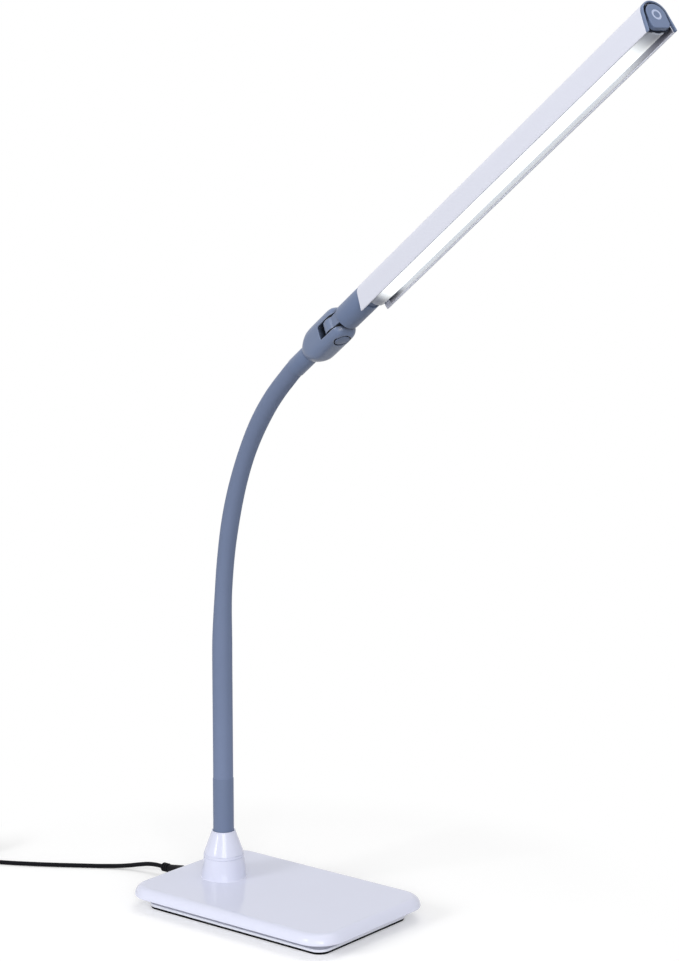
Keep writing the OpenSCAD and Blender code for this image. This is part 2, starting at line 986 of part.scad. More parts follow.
// The button seen along the bar: round above, straight down the sides, with a flat foot
module button_outline() {
    circle(r = button_r);
    translate([0, -button_r])
        square([button_foot - foot_corner, 2 * button_r]);
    translate([0, foot_corner - button_r])
        square([button_foot, 2 * (button_r - foot_corner)]);
    for (side = [-1, 1])
        translate([button_foot - foot_corner, side * (button_r - foot_corner)])
            circle(r = foot_corner);
}

module mark_ring(room) {
    difference() {
        circle(d = mark_d + 2 * room);
        circle(d = mark_d - 2 * mark_width - 2 * room);
    }
}

module power_button() {
    color(slate)
        on_bar()
            difference() {
                lift(button_back, button_front)
                    button_outline();
                lift(button_front - mark_depth, button_front + overlap)
                    mark_ring(set_fit);
            }
}

module button_ring() {
    color([0.75, 0.8, 0.9])
        on_bar()
            lift(button_front - mark_depth, button_front)
                mark_ring(0);
}

module dc_plug() {
    rib = plug_collar_length / (2 * plug_ribs);
    collar_from = plug_body_length + plug_taper_length;
    collar = [for (i = [0:2 * plug_ribs - 1], j = [0, 1])
        [plug_collar_d / 2 - (i % 2) * plug_rib_depth, collar_from + (i + j) * rib]];
    color(charcoal)
        translate([-plug_gap, 0, 0])
            at_jack()
                rotate_extrude()
                    polygon(concat(
                        [[0, 0], [plug_d / 2 - plug_edge, 0], [plug_d / 2, plug_edge],
                         [plug_d / 2, plug_body_length - plug_step],
                         [plug_collar_d / 2 - plug_rib_depth, collar_from]],
                        collar,
                        [[0, collar_from + plug_collar_length]]
                    ));
}

module plug_barrel() {
    color(steel)
        translate([-plug_gap, 0, 0])
            at_jack()
                lift(barrel_short - jack_bore_depth, 0)
                    difference() {
                        circle(d = jack_bore_d - 2 * run_fit);
                        circle(d = jack_pin_d + 2 * pin_room);
                    }
}

function unit(v) = v / norm(v);
function heading(path, i) = unit(path[min(i + 1, len(path) - 1)] - path[max(i - 1, 0)]);
function ring(centre, along, sides) =
    let (side = unit(cross([0, 0, 1], along)), top = cross(along, side))
    [for (j = [0:sides - 1]) centre + cord_r * (cos(360 * j / sides) * side + sin(360 * j / sides) * top)];

// A cord swept along a list of points, with one ring of corners at each point
module cord(path, sides) {
    last = len(path) - 1;
    corners = [for (i = [0:last]) each ring(path[i], heading(path, i), sides)];
    walls = [for (i = [0:last - 1], j = [0:sides - 1])
        let (a = i * sides + j, b = i * sides + (j + 1) % sides)
        each [[a, a + sides, b + sides], [a, b + sides, b]]];
    near_end = [for (j = [1:sides - 2]) [0, j, j + 1]];
    far = last * sides;
    far_end = [for (j = [1:sides - 2]) [far, far + j + 1, far + j]];
    polyhedron(corners, concat(walls, near_end, far_end));
}

// The coil spirals in and out again, layer upon layer, and climbs where it turns back
function ease(t) = t * t * (3 - 2 * t);
function coil_place(sweep) =
    let (layer = min(floor(sweep / layer_sweep), coil_layers - 1),
         share = sweep / layer_sweep - layer,
         inward = layer % 2 == 0 ? share : 1 - share,
         r = coil_radius + (coil_inner - coil_radius) * inward,
         climbs = [for (m = [1:coil_layers - 1]) ease(min(1, max(0, (sweep - m * layer_sweep) / 180 + 0.5)))],
         height = coil_low + coil_pitch * (climbs * [for (c = climbs) 1]),
         angle = coil_from - sweep)
    [coil_centre[0] + r * cos(angle), coil_centre[1] + r * sin(angle), height];

coil_steps = ceil(coil_sweep / 360 * coil_rings);
coil_turn_path = [for (i = [0:coil_steps]) coil_place(i * coil_sweep / coil_steps)];
coil_lead_in = unit([
    coil_turn_path[0][0] - coil_turn_path[1][0],
    coil_turn_path[0][1] - coil_turn_path[1][1],
    0
]);
coil_lead_out = unit(coil_turn_path[coil_steps] - coil_turn_path[coil_steps - 1]);
coil_path = concat(
    [coil_turn_path[0] + cord_d * coil_lead_in],
    coil_turn_path,
    [coil_turn_path[coil_steps] + cord_d * coil_lead_out]
);

// The least free gap between two strands of the coil, measured between the middles of its rings
coil_gap = min([for (i = [0:coil_steps - coil_rings / 2])
    min([for (j = [i + coil_rings / 2:coil_steps]) norm(coil_turn_path[i] - coil_turn_path[j])])]) - cord_d;
function path_length(path) =
    [for (i = [1:len(path) - 1]) norm(path[i] - path[i - 1])] * [for (i = [1:len(path) - 1]) 1];
run_path = concat(run_route, [coil_path[0]]);
tail_path = concat([coil_path[len(coil_path) - 1]], tail_route);
echo(coil_gap = coil_gap,
     cord_length = path_length(run_path) + path_length(coil_path) + path_length(tail_path));
echo(coil_first = coil_path[0], coil_last = tail_path[0], lead_out = coil_lead_out);
echo(neck_points = [for (k = [0:section_count]) neck_point(k)], hinge_point = hinge_point);

module cord_run() {
    color(charcoal)
        cord(run_path, 8);
}

module cord_coil() {
    color(charcoal)
        cord(coil_path, 6);
}

module cord_tail() {
    color(charcoal)
        cord(tail_path, 8);
}

// A flat band round all the turns on the side of the coil away from the lamp
module cord_tie() {
    inner = coil_inner - cord_r - tie_room[0];
    outer = coil_radius + cord_r + tie_room[0];
    top = coil_low + (coil_layers - 1) * coil_pitch + cord_r + tie_room[0];
    bottom = coil_rest - tie_room[1];
    color([0.15, 0.15, 0.16])
        translate([coil_centre[0], coil_centre[1], 0])
            rotate([90, 0, 90])
                linear_extrude(tie_width, center = true)
                    difference() {
                        translate([inner - tie_thickness, bottom - tie_thickness])
                            square([outer - inner + 2 * tie_thickness, top - bottom + 2 * tie_thickness]);
                        translate([inner, bottom])
                            square([outer - inner, top - bottom]);
                    }
}

module adapter_relief() {
    start = tail_route[len(tail_route) - 1];
    color(charcoal)
        translate(start - [relief_gap, 0, 0])
            rotate([0, -90, 0])
                cylinder(d1 = cord_d + 2 * relief_wall, d2 = adapter_relief_d,
                         h = adapter_relief_length - relief_gap);
}

module adapter_case() {
    color(charcoal)
        hull()
            for (x = [adapter_far + adapter_round, adapter_face - adapter_round], y = [-1, 1], z = [0, 1])
                translate([x, adapter_y + y * (adapter_length / 2 - adapter_round),
                           adapter_round + z * (adapter_thickness - 2 * adapter_round)])
                    sphere(r = adapter_round, $fn = 24);
}

module adapter_blades() {
    color(steel)
        for (z = [-1, 1])
            translate([(adapter_far + adapter_face) / 2 - blade_size[2] / 2,
                       adapter_y + adapter_length / 2,
                       adapter_thickness / 2 + z * blade_spacing / 2 - blade_size[0] / 2])
                cube([blade_size[2], blade_size[1], blade_size[0]]);
}

base_cover();
base_tray();
base_screws();
foot_pad();
ballast();
dc_jack();
neck_stud();
neck_nut();
neck_collar();
neck_ferrule_lower();
for (k = [1:section_count]) {
    neck_sleeve(k - 1);
    neck_core(k - 1);
}
neck_ferrule_upper();
tilt_yoke();
pivot_bolt();
pivot_nut();
pivot_caps();
friction_washers();
knuckle_tongue();
head_stem();
swivel_screw();
hood();
reflector();
light_tube();
heat_sink();
led_board();
leds();
end_trim();
switch_board();
tact_switch();
power_button();
button_ring();
dc_plug();
plug_barrel();
cord_run();
cord_coil();
cord_tail();
cord_tie();
adapter_relief();
adapter_case();
adapter_blades();
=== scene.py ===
# %% [markdown]
# # A gooseneck desk lamp
# The lamp is a flat weighted base, a bendable neck, a swing knuckle and a long light bar. The solid
# parts come packed as a fixed frame, in metres, with +Z up and +X to the front. This lesson dresses
# that frame: each cell adds one piece or one finish, and says how the real thing is made and why it is
# modelled in this way.

# %% Load the frame and keep its box
import json
import math

import bmesh
import bpy
from mathutils import Matrix, Vector


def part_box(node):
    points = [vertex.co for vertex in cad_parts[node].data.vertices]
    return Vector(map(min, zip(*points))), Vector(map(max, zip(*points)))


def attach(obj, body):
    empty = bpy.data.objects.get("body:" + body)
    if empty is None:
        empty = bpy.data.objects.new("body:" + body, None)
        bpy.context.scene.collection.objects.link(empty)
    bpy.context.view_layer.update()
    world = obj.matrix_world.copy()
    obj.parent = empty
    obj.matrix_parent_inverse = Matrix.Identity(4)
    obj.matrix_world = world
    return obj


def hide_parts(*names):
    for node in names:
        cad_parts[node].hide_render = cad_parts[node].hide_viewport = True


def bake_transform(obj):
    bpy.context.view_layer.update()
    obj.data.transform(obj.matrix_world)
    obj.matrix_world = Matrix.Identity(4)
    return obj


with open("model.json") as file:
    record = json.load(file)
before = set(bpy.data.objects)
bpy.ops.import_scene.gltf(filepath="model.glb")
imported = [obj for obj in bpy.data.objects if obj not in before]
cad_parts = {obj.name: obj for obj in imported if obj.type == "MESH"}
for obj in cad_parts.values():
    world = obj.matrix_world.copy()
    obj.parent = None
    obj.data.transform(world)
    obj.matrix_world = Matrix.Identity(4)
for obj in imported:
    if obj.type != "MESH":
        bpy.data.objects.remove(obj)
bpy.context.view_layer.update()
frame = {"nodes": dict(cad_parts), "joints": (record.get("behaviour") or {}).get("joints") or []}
nodes = frame["nodes"]
joints = {joint["name"]: joint for joint in frame["joints"]}
scene = bpy.context.scene
scene.view_settings.view_transform = "Standard"
MM = 0.001
UP = Vector((0, 0, 1))
print("nodes in the frame:", len(nodes), "and joints:", len(joints))

# %% [markdown]
# ## Where the neck and the light bar lie
# The joints of the frame already say where the neck bends and where the knuckle turns, so no place has
# to be measured twice. The neck and the bar lie in one upright plane, and the first bend's axis stands
# square to it. A small matrix gives each group of parts its own axes: along the bar for the light,
# along the bolt for the knuckle. Each piece can then be drawn straight and upright, and is turned into
# its place at the end.

# %% Read the axes from the joints
HINGE = Vector(joints["head_swing"]["pos_m"])
BOLT = Vector(joints["head_swing"]["axis"]).normalized()
BAR = Vector(joints["head_roll"]["axis"]).normalized()
LEFT = Vector(joints["neck_bend"]["axis"]).normalized()
NECK_TO_HINGE = 62 * MM
neck_joints = [joint for joint in frame["joints"] if joint["name"].startswith("neck_")]
neck_points = [Vector(joint["pos_m"]) for joint in neck_joints] + [HINGE - NECK_TO_HINGE * BAR]
NECK_FOOT = Vector((neck_points[0].x, 0, 0))


def axes_at(origin, x_axis, z_axis):
    """A matrix whose local X and Z run along the two given directions."""
    y_axis = z_axis.cross(x_axis)
    matrix = Matrix((x_axis, y_axis, z_axis)).transposed().to_4x4()
    matrix.translation = origin
    return matrix


on_bar = axes_at(HINGE, LEFT.cross(BAR), BAR)
on_bolt = axes_at(HINGE, BOLT, BAR)
at_neck = Matrix.Translation(NECK_FOOT)
print("neck bends at", len(neck_joints), "places, hinge at", [round(v, 4) for v in HINGE])

# %% [markdown]
# ## The camera
# The picture was taken from the lamp's front right, from nearly the height of its top, with a long lens
# that keeps upright lines upright. A camera can be placed by hand or by a tracking constraint. Here it
# is worked out from the point that it aims at, two angles and a distance, because these are what one
# would change.

# %% Set up the camera
VIEW_AZIMUTH = math.radians(38.67)
VIEW_PITCH = math.radians(9.41)
VIEW_DISTANCE = 1.8604
AIM_SIDE = 0.04838
AIM_HEIGHT = 0.3380
LENS = 93.0
to_right = Vector((math.cos(VIEW_AZIMUTH), math.sin(VIEW_AZIMUTH), 0))
to_camera = Vector((math.sin(VIEW_AZIMUTH) * math.cos(VIEW_PITCH),
                    -math.cos(VIEW_AZIMUTH) * math.cos(VIEW_PITCH),
                    math.sin(VIEW_PITCH)))
aim = to_right * AIM_SIDE + UP * AIM_HEIGHT
camera = bpy.data.objects.new("camera", bpy.data.cameras.new("camera"))
scene.collection.objects.link(camera)
camera.data.lens = LENS
camera.location = aim + to_camera * VIEW_DISTANCE
camera.rotation_euler = (-to_camera).to_track_quat("-Z", "Y").to_euler()
scene.camera = camera
print("camera at", [round(v, 3) for v in camera.location])

# %% [markdown]
# ## Shared surface effects
# No real surface has one flat colour: plastic is a little cloudy and metal shows streaks. Two more groups
# paint light and shade into the colour: a painted highlight on corners and painted shade in gaps. Such
# effects could be painted as pictures, but a node group needs no picture, stays sharp at any distance, and is
# built once for all the finishes that use it. A few helpers place nodes, fill in their values and join them,
# so that each group reads as a short list of steps.

# %% Define helpers that build node trees
COLOUR = "NodeSocketColor"
VALUE = "NodeSocketFloat"
VECTOR = "NodeSocketVector"
GREY = (0.5, 0.5, 0.5, 1)


def new_group(name, inputs, outputs):
    """An empty node group with named sockets, and its two end nodes."""
    group = bpy.data.node_groups.new(name, "ShaderNodeTree")
    for title, kind, value in inputs:
        socket = group.interface.new_socket(title, in_out="INPUT", socket_type=kind)
        socket.default_value = value
    for title, kind in outputs:
        group.interface.new_socket(title, in_out="OUTPUT", socket_type=kind)
    return group, group.nodes.new("NodeGroupInput"), group.nodes.new("NodeGroupOutput")


def add(tree, kind, **settings):
    """A node with some of its settings or input values filled in."""
    node = tree.nodes.new(kind)
    for key, value in settings.items():
        if hasattr(node, key):
            setattr(node, key, value)
        else:
            node.inputs[key.replace("_", " ")].default_value = value
    return node


def feed(tree, socket, value):
    """Fills an input with a number or joins it to an output."""
    if isinstance(value, (int, float)):
        socket.default_value = value
    else:
        tree.links.new(value, socket)


def maths(tree, operation, first, second):
    """One sum with two sockets or numbers."""
    node = add(tree, "ShaderNodeMath", operation=operation)
    feed(tree, node.inputs[0], first)
    feed(tree, node.inputs[1], second)
    return node.outputs[0]


def spread(tree, source, low, high):
    """Maps a 0 to 1 value to the range between two sockets or numbers."""
    node = add(tree, "ShaderNodeMapRange")
    feed(tree, node.inputs["Value"], source)
    feed(tree, node.inputs["To Min"], low)
    feed(tree, node.inputs["To Max"], high)
    return node.outputs["Result"]


def uneven(tree, noise, middle, swing):
    """A value that follows a noise by up to a swing on each side of a middle."""
    low = maths(tree, "SUBTRACT", middle, swing)
    high = maths(tree, "ADD", middle, swing)
    return spread(tree, noise, low, high)


def scaled(tree, colour, share):
    """A colour made darker or lighter by a value."""
    node = add(tree, "ShaderNodeVectorMath", operation="SCALE")
    tree.links.new(colour, node.inputs[0])
    tree.links.new(share, node.inputs["Scale"])
    return node.outputs[0]


print("kinds of sockets that the groups use:", COLOUR, VALUE, VECTOR)

# %% [markdown]
# ## Moulded plastic
# Moulded plastic shows a broad, faint cloudiness where it cooled unevenly, and the fine grain of its
# mould. One noise changes the colour and the gloss together, as cooling does, and a second, much finer
# one gives a height for the grain. A finish then chooses its own colour, gloss and strengths.

# %% Build the moulded surface


def moulded_group():
    """Cloudy colour, uneven gloss and fine grain of moulded plastic."""
    group, given, made = new_group(
        "Moulded surface",
        [("Colour", COLOUR, GREY), ("Cloudiness", VALUE, 0.04), ("Roughness", VALUE, 0.4),
         ("Gloss Swing", VALUE, 0.05), ("Cloud Scale", VALUE, 30.0), ("Grain Scale", VALUE, 3000.0)],
        [("Colour", COLOUR), ("Roughness", VALUE), ("Height", VALUE)])
    place = add(group, "ShaderNodeTexCoord").outputs["Object"]
    cloud = add(group, "ShaderNodeTexNoise", Detail=4.0, Roughness=0.6)
    grain = add(group, "ShaderNodeTexNoise", Detail=2.0)
    for noise, title in ((cloud, "Cloud Scale"), (grain, "Grain Scale")):
        group.links.new(place, noise.inputs["Vector"])
        group.links.new(given.outputs[title], noise.inputs["Scale"])
    shade = uneven(group, cloud.outputs["Fac"], 1.0, given.outputs["Cloudiness"])
    gloss = uneven(group, cloud.outputs["Fac"], given.outputs["Roughness"], given.outputs["Gloss Swing"])
    group.links.new(scaled(group, given.outputs["Colour"], shade), made.inputs["Colour"])
    group.links.new(gloss, made.inputs["Roughness"])
    group.links.new(grain.outputs["Fac"], made.inputs["Height"])
    return group


MOULDED = moulded_group()
print("shader group:", MOULDED.name)

# %% [markdown]
# ## Metal streaks
# Drawn or turned metal has fine lines along the way the tool went. Stretching one noise much more along
# one axis than along the others gives such lines without a single drawn stroke, and the same lines
# change the gloss.

# %% Build the metal streaks
STREAK_GLOSS = (0.7, 1.3)


def streak_group():
    """Fine lines along one direction, as on drawn or turned metal."""
    group, given, made = new_group(
        "Metal streaks",
        [("Colour", COLOUR, GREY), ("Contrast", VALUE, 0.08), ("Roughness", VALUE, 0.3),
         ("Stretch", VECTOR, (1.0, 1.0, 1.0))],
        [("Colour", COLOUR), ("Roughness", VALUE), ("Height", VALUE)])
    squeeze = add(group, "ShaderNodeVectorMath", operation="MULTIPLY")
    group.links.new(add(group, "ShaderNodeTexCoord").outputs["Object"], squeeze.inputs[0])
    group.links.new(given.outputs["Stretch"], squeeze.inputs[1])
    noise = add(group, "ShaderNodeTexNoise", Scale=1.0, Detail=3.0)
    group.links.new(squeeze.outputs[0], noise.inputs["Vector"])
    streaks = noise.outputs["Fac"]
    shade = uneven(group, streaks, 1.0, given.outputs["Contrast"])
    gloss = maths(group, "MULTIPLY", given.outputs["Roughness"], spread(group, streaks, *STREAK_GLOSS))
    group.links.new(scaled(group, given.outputs["Colour"], shade), made.inputs["Colour"])
    group.links.new(gloss, made.inputs["Roughness"])
    group.links.new(streaks, made.inputs["Height"])
    return group


STREAKS = streak_group()
print("shader group:", STREAKS.name)

# %% [markdown]
# ## Corners that catch light and gaps in shade
# Paler corners are a painted highlight: a small radius mirrors more of the room, and that light is painted
# into the colour. Darker gaps are painted shade, where little light reaches. The Bevel node knows where a
# corner is, since its rounded normal departs from the true one there, and the Ambient Occlusion node knows
# how closed in a place is. Both work on any mesh, so nothing has to be painted by hand.

# %% Build the painted edge highlight and the painted crevice shade
EDGE_GAIN = 4.0
EDGE_SAMPLES = 4
CREVICE_SAMPLES = 8


def edge_highlight_group():
    """Paints a highlight into a colour where a rounded normal departs from the true one, which is at the
    corners.
    """
    group, given, made = new_group(
        "Edge highlight",
        [("Colour", COLOUR, GREY), ("Edge Colour", COLOUR, GREY), ("Radius", VALUE, 0.0006),
         ("Amount", VALUE, 0.5)],
        [("Colour", COLOUR)])
    soft_normal = add(group, "ShaderNodeBevel", samples=EDGE_SAMPLES)
    group.links.new(given.outputs["Radius"], soft_normal.inputs["Radius"])
    closeness = add(group, "ShaderNodeVectorMath", operation="DOT_PRODUCT")
    group.links.new(soft_normal.outputs["Normal"], closeness.inputs[0])
    group.links.new(add(group, "ShaderNodeNewGeometry").outputs["Normal"], closeness.inputs[1])
    departure = maths(group, "SUBTRACT", 1.0, closeness.outputs["Value"])
    edge = maths(group, "MINIMUM", maths(group, "MULTIPLY", departure, EDGE_GAIN), 1.0)
    mix = add(group, "ShaderNodeMix", data_type="RGBA")
    group.links.new(maths(group, "MULTIPLY", edge, given.outputs["Amount"]), mix.inputs["Factor"])
    group.links.new(given.outputs["Colour"], mix.inputs["A"])
    group.links.new(given.outputs["Edge Colour"], mix.inputs["B"])
    group.links.new(mix.outputs["Result"], made.inputs["Colour"])
    return group


def crevice_group():
    """Paints shade into a colour where the surface is closed in by what is near it."""
    group, given, made = new_group(
        "Crevice shade",
        [("Colour", COLOUR, GREY), ("Reach", VALUE, 0.006), ("Strength", VALUE, 2.0)],
        [("Colour", COLOUR)])
    openness = add(group, "ShaderNodeAmbientOcclusion", samples=CREVICE_SAMPLES)
    group.links.new(given.outputs["Reach"], openness.inputs["Distance"])
    shade = maths(group, "POWER", openness.outputs["AO"], given.outputs["Strength"])
    group.links.new(scaled(group, given.outputs["Colour"], shade), made.inputs["Colour"])
    return group


EDGE_HIGHLIGHT = edge_highlight_group()
CREVICES = crevice_group()
print("shader groups:", EDGE_HIGHLIGHT.name, "and", CREVICES.name)

# %% [markdown]
# ## Plastic and paint
# The base is polished lavender white plastic, the hood is satin white paint, and the neck, knuckle and trim
# are blue grey and soft to the touch. The lead and the foot are black. All of them are the same moulded
# surface with other values, so one function makes them, and a finish that gets a painted highlight on its
# corners or painted shade in its gaps adds those groups too.

# %% Make the plastics, paints and rubbers
GRAIN_STRENGTH = 0.6
LAVENDER = (0.67, 0.69, 0.825)
SLATE = (0.178, 0.224, 0.352)
BLUE_SLATE = (0.162, 0.214, 0.350)


def new_material(name):
    """An empty material, its tree and its Principled shader."""
    material = bpy.data.materials.new(name)
    material.use_nodes = True
    tree = material.node_tree
    return material, tree, tree.nodes["Principled BSDF"]


def use_group(tree, group, **values):
    """Places a group in a material and fills in its inputs."""
    node = tree.nodes.new("ShaderNodeGroup")
    node.node_tree = group
    for key, value in values.items():
        node.inputs[key.replace("_", " ")].default_value = value
    return node


def bump_from(tree, height, shader, strength, distance):
    """Feeds a height into the shader's normal."""
    bump = add(tree, "ShaderNodeBump", Strength=strength, Distance=distance)
    tree.links.new(height, bump.inputs["Height"])
    tree.links.new(bump.outputs["Normal"], shader.inputs["Normal"])


def plastic(name, colour, roughness, cloudiness=0.03, swing=0.04, grain=3000.0, depth=0.00002, edge=None,
            specular=0.5, edge_radius=0.0006, crevice=0.0):
    """Plastic, rubber or paint. An edge colour paints highlights on corners, a crevice reach paints shade in
    gaps.
    """
    material, tree, shader = new_material(name)
    surface = use_group(tree, MOULDED, Colour=(*colour, 1), Cloudiness=cloudiness, Roughness=roughness,
                        Gloss_Swing=swing, Grain_Scale=grain)
    effects = []
    if edge:
        effects.append(use_group(tree, EDGE_HIGHLIGHT, Edge_Colour=(*edge, 1), Radius=edge_radius))
    if crevice:
        effects.append(use_group(tree, CREVICES, Reach=crevice))
    shown = surface.outputs["Colour"]
    for effect in effects:
        tree.links.new(shown, effect.inputs["Colour"])
        shown = effect.outputs["Colour"]
    tree.links.new(shown, shader.inputs["Base Color"])
    tree.links.new(surface.outputs["Roughness"], shader.inputs["Roughness"])
    shader.inputs["Specular IOR Level"].default_value = specular
    bump_from(tree, surface.outputs["Height"], shader, GRAIN_STRENGTH, depth)
    return material


base_gloss = plastic("base_gloss", LAVENDER, roughness=0.10, cloudiness=0.012, swing=0.03, grain=900.0,
                     depth=0.000006, specular=0.35)
tray_satin = plastic("tray_satin", (0.74, 0.755, 0.84), roughness=0.30)
# A darker grey for the groove's faces, painted shade for the gap under the cover's lip.
recess_painted_shade = plastic("recess_painted_shade", (0.30, 0.31, 0.38), roughness=0.5, specular=0.2)
hood_paint = plastic("hood_paint", (0.762, 0.78, 0.89), roughness=0.38, cloudiness=0.01, grain=700.0,
                     depth=0.0000004)
# Edge colours paint highlights on corners, and crevice reaches paint shade into gaps.
slate_plastic = plastic("slate_plastic", BLUE_SLATE, roughness=0.42, edge=(0.38, 0.46, 0.62), specular=0.3,
                        crevice=0.002)
ferrule_plastic = plastic("ferrule_plastic", (0.152, 0.194, 0.306), roughness=0.5, specular=0.25)
# Near black slate for the plug and the plate: partly their own colour, partly painted shade inside the bar's
# end.
painted_shade_slate = plastic("painted_shade_slate", (0.028, 0.034, 0.052), roughness=0.6, specular=0.15)
knuckle_plastic = plastic("knuckle_plastic", BLUE_SLATE, roughness=0.30, edge=(0.66, 0.72, 0.86),
                          specular=0.45, edge_radius=0.0011, crevice=0.006)
sleeve_rubber = plastic("sleeve_rubber", SLATE, roughness=0.55, cloudiness=0.05, swing=0.06, grain=2400.0,
                        depth=0.00003, specular=0.2)
black_plastic = plastic("black_plastic", (0.006, 0.006, 0.008), roughness=0.45, edge=(0.03, 0.03, 0.035),
                        specular=0.08)
cord_jacket = plastic("cord_jacket", (0.005, 0.005, 0.007), roughness=0.40, cloudiness=0.2, specular=0.06)
foot_rubber = plastic("foot_rubber", (0.004, 0.004, 0.005), roughness=0.80, cloudiness=0.3, grain=1500.0,
                      depth=0.0001, specular=0.05)
pale_inlay = plastic("pale_inlay", (0.47, 0.54, 0.74), roughness=0.35)
print("plastics and paints:", len(bpy.data.materials))

# %% [markdown]
# ## Metals and the parts inside
# Screws, links and plug pins are bare metal, and the boards, the light chips and the iron weight lie
# inside. Few of them are ever seen, but the lamp can be taken apart, so each gets a plain finish of its
# own. A metal's colour is what it mirrors, so its shader is fully metallic and its streaks do the rest.

# %% Make the metals and the inside finishes
STREAK_STRENGTH = 0.3
STREAK_DEPTH = 0.00001


def show_surface(tree, shader, surface):
    """Feeds a group's colour and gloss into the shader."""
    tree.links.new(surface.outputs["Colour"], shader.inputs["Base Color"])
    tree.links.new(surface.outputs["Roughness"], shader.inputs["Roughness"])


def metal(name, colour, roughness, stretch, contrast=0.08):
    """Metal with streaks along the direction in which stretch is small."""
    material, tree, shader = new_material(name)
    surface = use_group(tree, STREAKS, Colour=(*colour, 1), Contrast=contrast, Roughness=roughness,
                        Stretch=stretch)
    show_surface(tree, shader, surface)
    shader.inputs["Metallic"].default_value = 1.0
    bump_from(tree, surface.outputs["Height"], shader, STREAK_STRENGTH, STREAK_DEPTH)
    return material


white_board = plastic("white_board", (0.80, 0.81, 0.80), roughness=0.45)
green_board = plastic("green_board", (0.03, 0.16, 0.06), roughness=0.4)
phosphor = plastic("phosphor", (0.85, 0.66, 0.12), roughness=0.3)
nylon = plastic("nylon", (0.74, 0.72, 0.62), roughness=0.5)
steel = metal("steel", (0.55, 0.55, 0.57), roughness=0.34, stretch=(400.0, 400.0, 4000.0))
nickel = metal("nickel", (0.70, 0.68, 0.63), roughness=0.2, stretch=(3000.0, 500.0, 500.0))
drawn_aluminium = metal("drawn_aluminium", (0.68, 0.69, 0.70), roughness=0.4, stretch=(900.0, 3000.0, 900.0))
cast_iron = plastic("cast_iron", (0.06, 0.06, 0.065), roughness=0.7, cloudiness=0.3, grain=700.0,
                    depth=0.0003)
print("finishes so far:", len(bpy.data.materials))

# %% [markdown]
# ## The lit tube's finish and its lining
# An opal tube glows evenly except near its ends, where there are no light chips and the plastic turns grey.
# The glow is a colour that fades along the bar, so the finish reads how far a point lies from the hinge. The
# silver lining beside the tube mirrors it, and that reflection is painted into the lining's colour: bright
# along the glow and dark past its ends. A true light in the tube would do the same, but with a great deal of
# noise. For the same reason the tube only shows its glow, and isn't picked out as a lamp when light is
# sampled.

# %% Make the glowing opal and the silver lining
GLOW_FULL = (70 * MM, 348 * MM)
GLOW_NONE = (55 * MM, 374 * MM)
SHINE_FULL = (70 * MM, 322 * MM)
SHINE_NONE = (46 * MM, 368 * MM)
GLOW = (0.97, 1.0, 0.985)
OPAL = (0.46, 0.49, 0.57, 1)
LINING_LIT = (0.60, 0.61, 0.64)
LINING_DARK = (0.17, 0.17, 0.21, 1)
LINING_GRAIN = (900.0, 900.0, 900.0)


def share_along(tree, nothing, full):
    """A value that rises from 0 to 1 after the bar's start and falls to 0 again before its end."""
    offset = add(tree, "ShaderNodeVectorMath", operation="SUBTRACT")
    offset.inputs[1].default_value = HINGE
    tree.links.new(add(tree, "ShaderNodeTexCoord").outputs["Object"], offset.inputs[0])
    along = add(tree, "ShaderNodeVectorMath", operation="DOT_PRODUCT")
    along.inputs[1].default_value = BAR
    tree.links.new(offset.outputs[0], along.inputs[0])
    shares = []
    for low, high in zip(nothing, full):
        rise = add(tree, "ShaderNodeMapRange", interpolation_type="SMOOTHSTEP", From_Min=low, From_Max=high)
        tree.links.new(along.outputs["Value"], rise.inputs["Value"])
        shares.append(rise.outputs["Result"])
    return maths(tree, "MULTIPLY", *shares)


def opal():
    """Opal plastic whose glow rises from one end of the tube and falls again before the other."""
    material, tree, shader = new_material("opal_tube")
    surface = use_group(tree, MOULDED, Colour=OPAL, Roughness=0.12, Cloudiness=0.02)
    show_surface(tree, shader, surface)
    glow = add(tree, "ShaderNodeVectorMath", operation="SCALE")
    glow.inputs[0].default_value = GLOW
    tree.links.new(share_along(tree, GLOW_NONE, GLOW_FULL), glow.inputs["Scale"])
    tree.links.new(glow.outputs[0], shader.inputs["Emission Color"])
    shader.inputs["Emission Strength"].default_value = 1.0
    material.cycles.emission_sampling = "NONE"
    return material


def lining_with_painted_reflection():
    """Brushed silver with the tube's reflected glow painted into its colour: bright beside the glowing
    stretch, dark past it.
    """
    material = metal("silver_lining", LINING_LIT, roughness=0.38, stretch=LINING_GRAIN, contrast=0.02)
    tree = material.node_tree
    shader = tree.nodes["Principled BSDF"]
    # Painted reflection: the lining's colour turns dark past the ends of the glow.
    shine = add(tree, "ShaderNodeMix", data_type="RGBA")
    shine.inputs["A"].default_value = LINING_DARK
    tree.links.new(share_along(tree, SHINE_NONE, SHINE_FULL), shine.inputs["Factor"])
    tree.links.new(shader.inputs["Base Color"].links[0].from_socket, shine.inputs["B"])
    tree.links.new(shine.outputs["Result"], shader.inputs["Base Color"])
    return material


opal_tube = opal()
silver_lining = lining_with_painted_reflection()
print("the tube glows fully between", [round(end / MM) for end in GLOW_FULL], "mm from the hinge")

# %% [markdown]
# ## Rings, lofts and turned shapes
# Most pieces of the lamp are either turned, like the collar, or swept, like the neck and the hood. Both
# are rings of points joined by faces, so one short function makes nearly all of them. Another one
# rounds the corners of an outline, because a real edge always has a small radius that catches the
# light. A Bevel modifier could do that too, but an outline that is rounded before it is turned keeps
# its faces clean and even.

# %% Define lofts and rounded outlines
LATHE_SIDES = 96
AXIS_R = 0.05 * MM
ROUND_STEPS = 4


def full_turn(count):
    """Even angles round a circle."""
    return [2 * math.pi * j / count for j in range(count)]


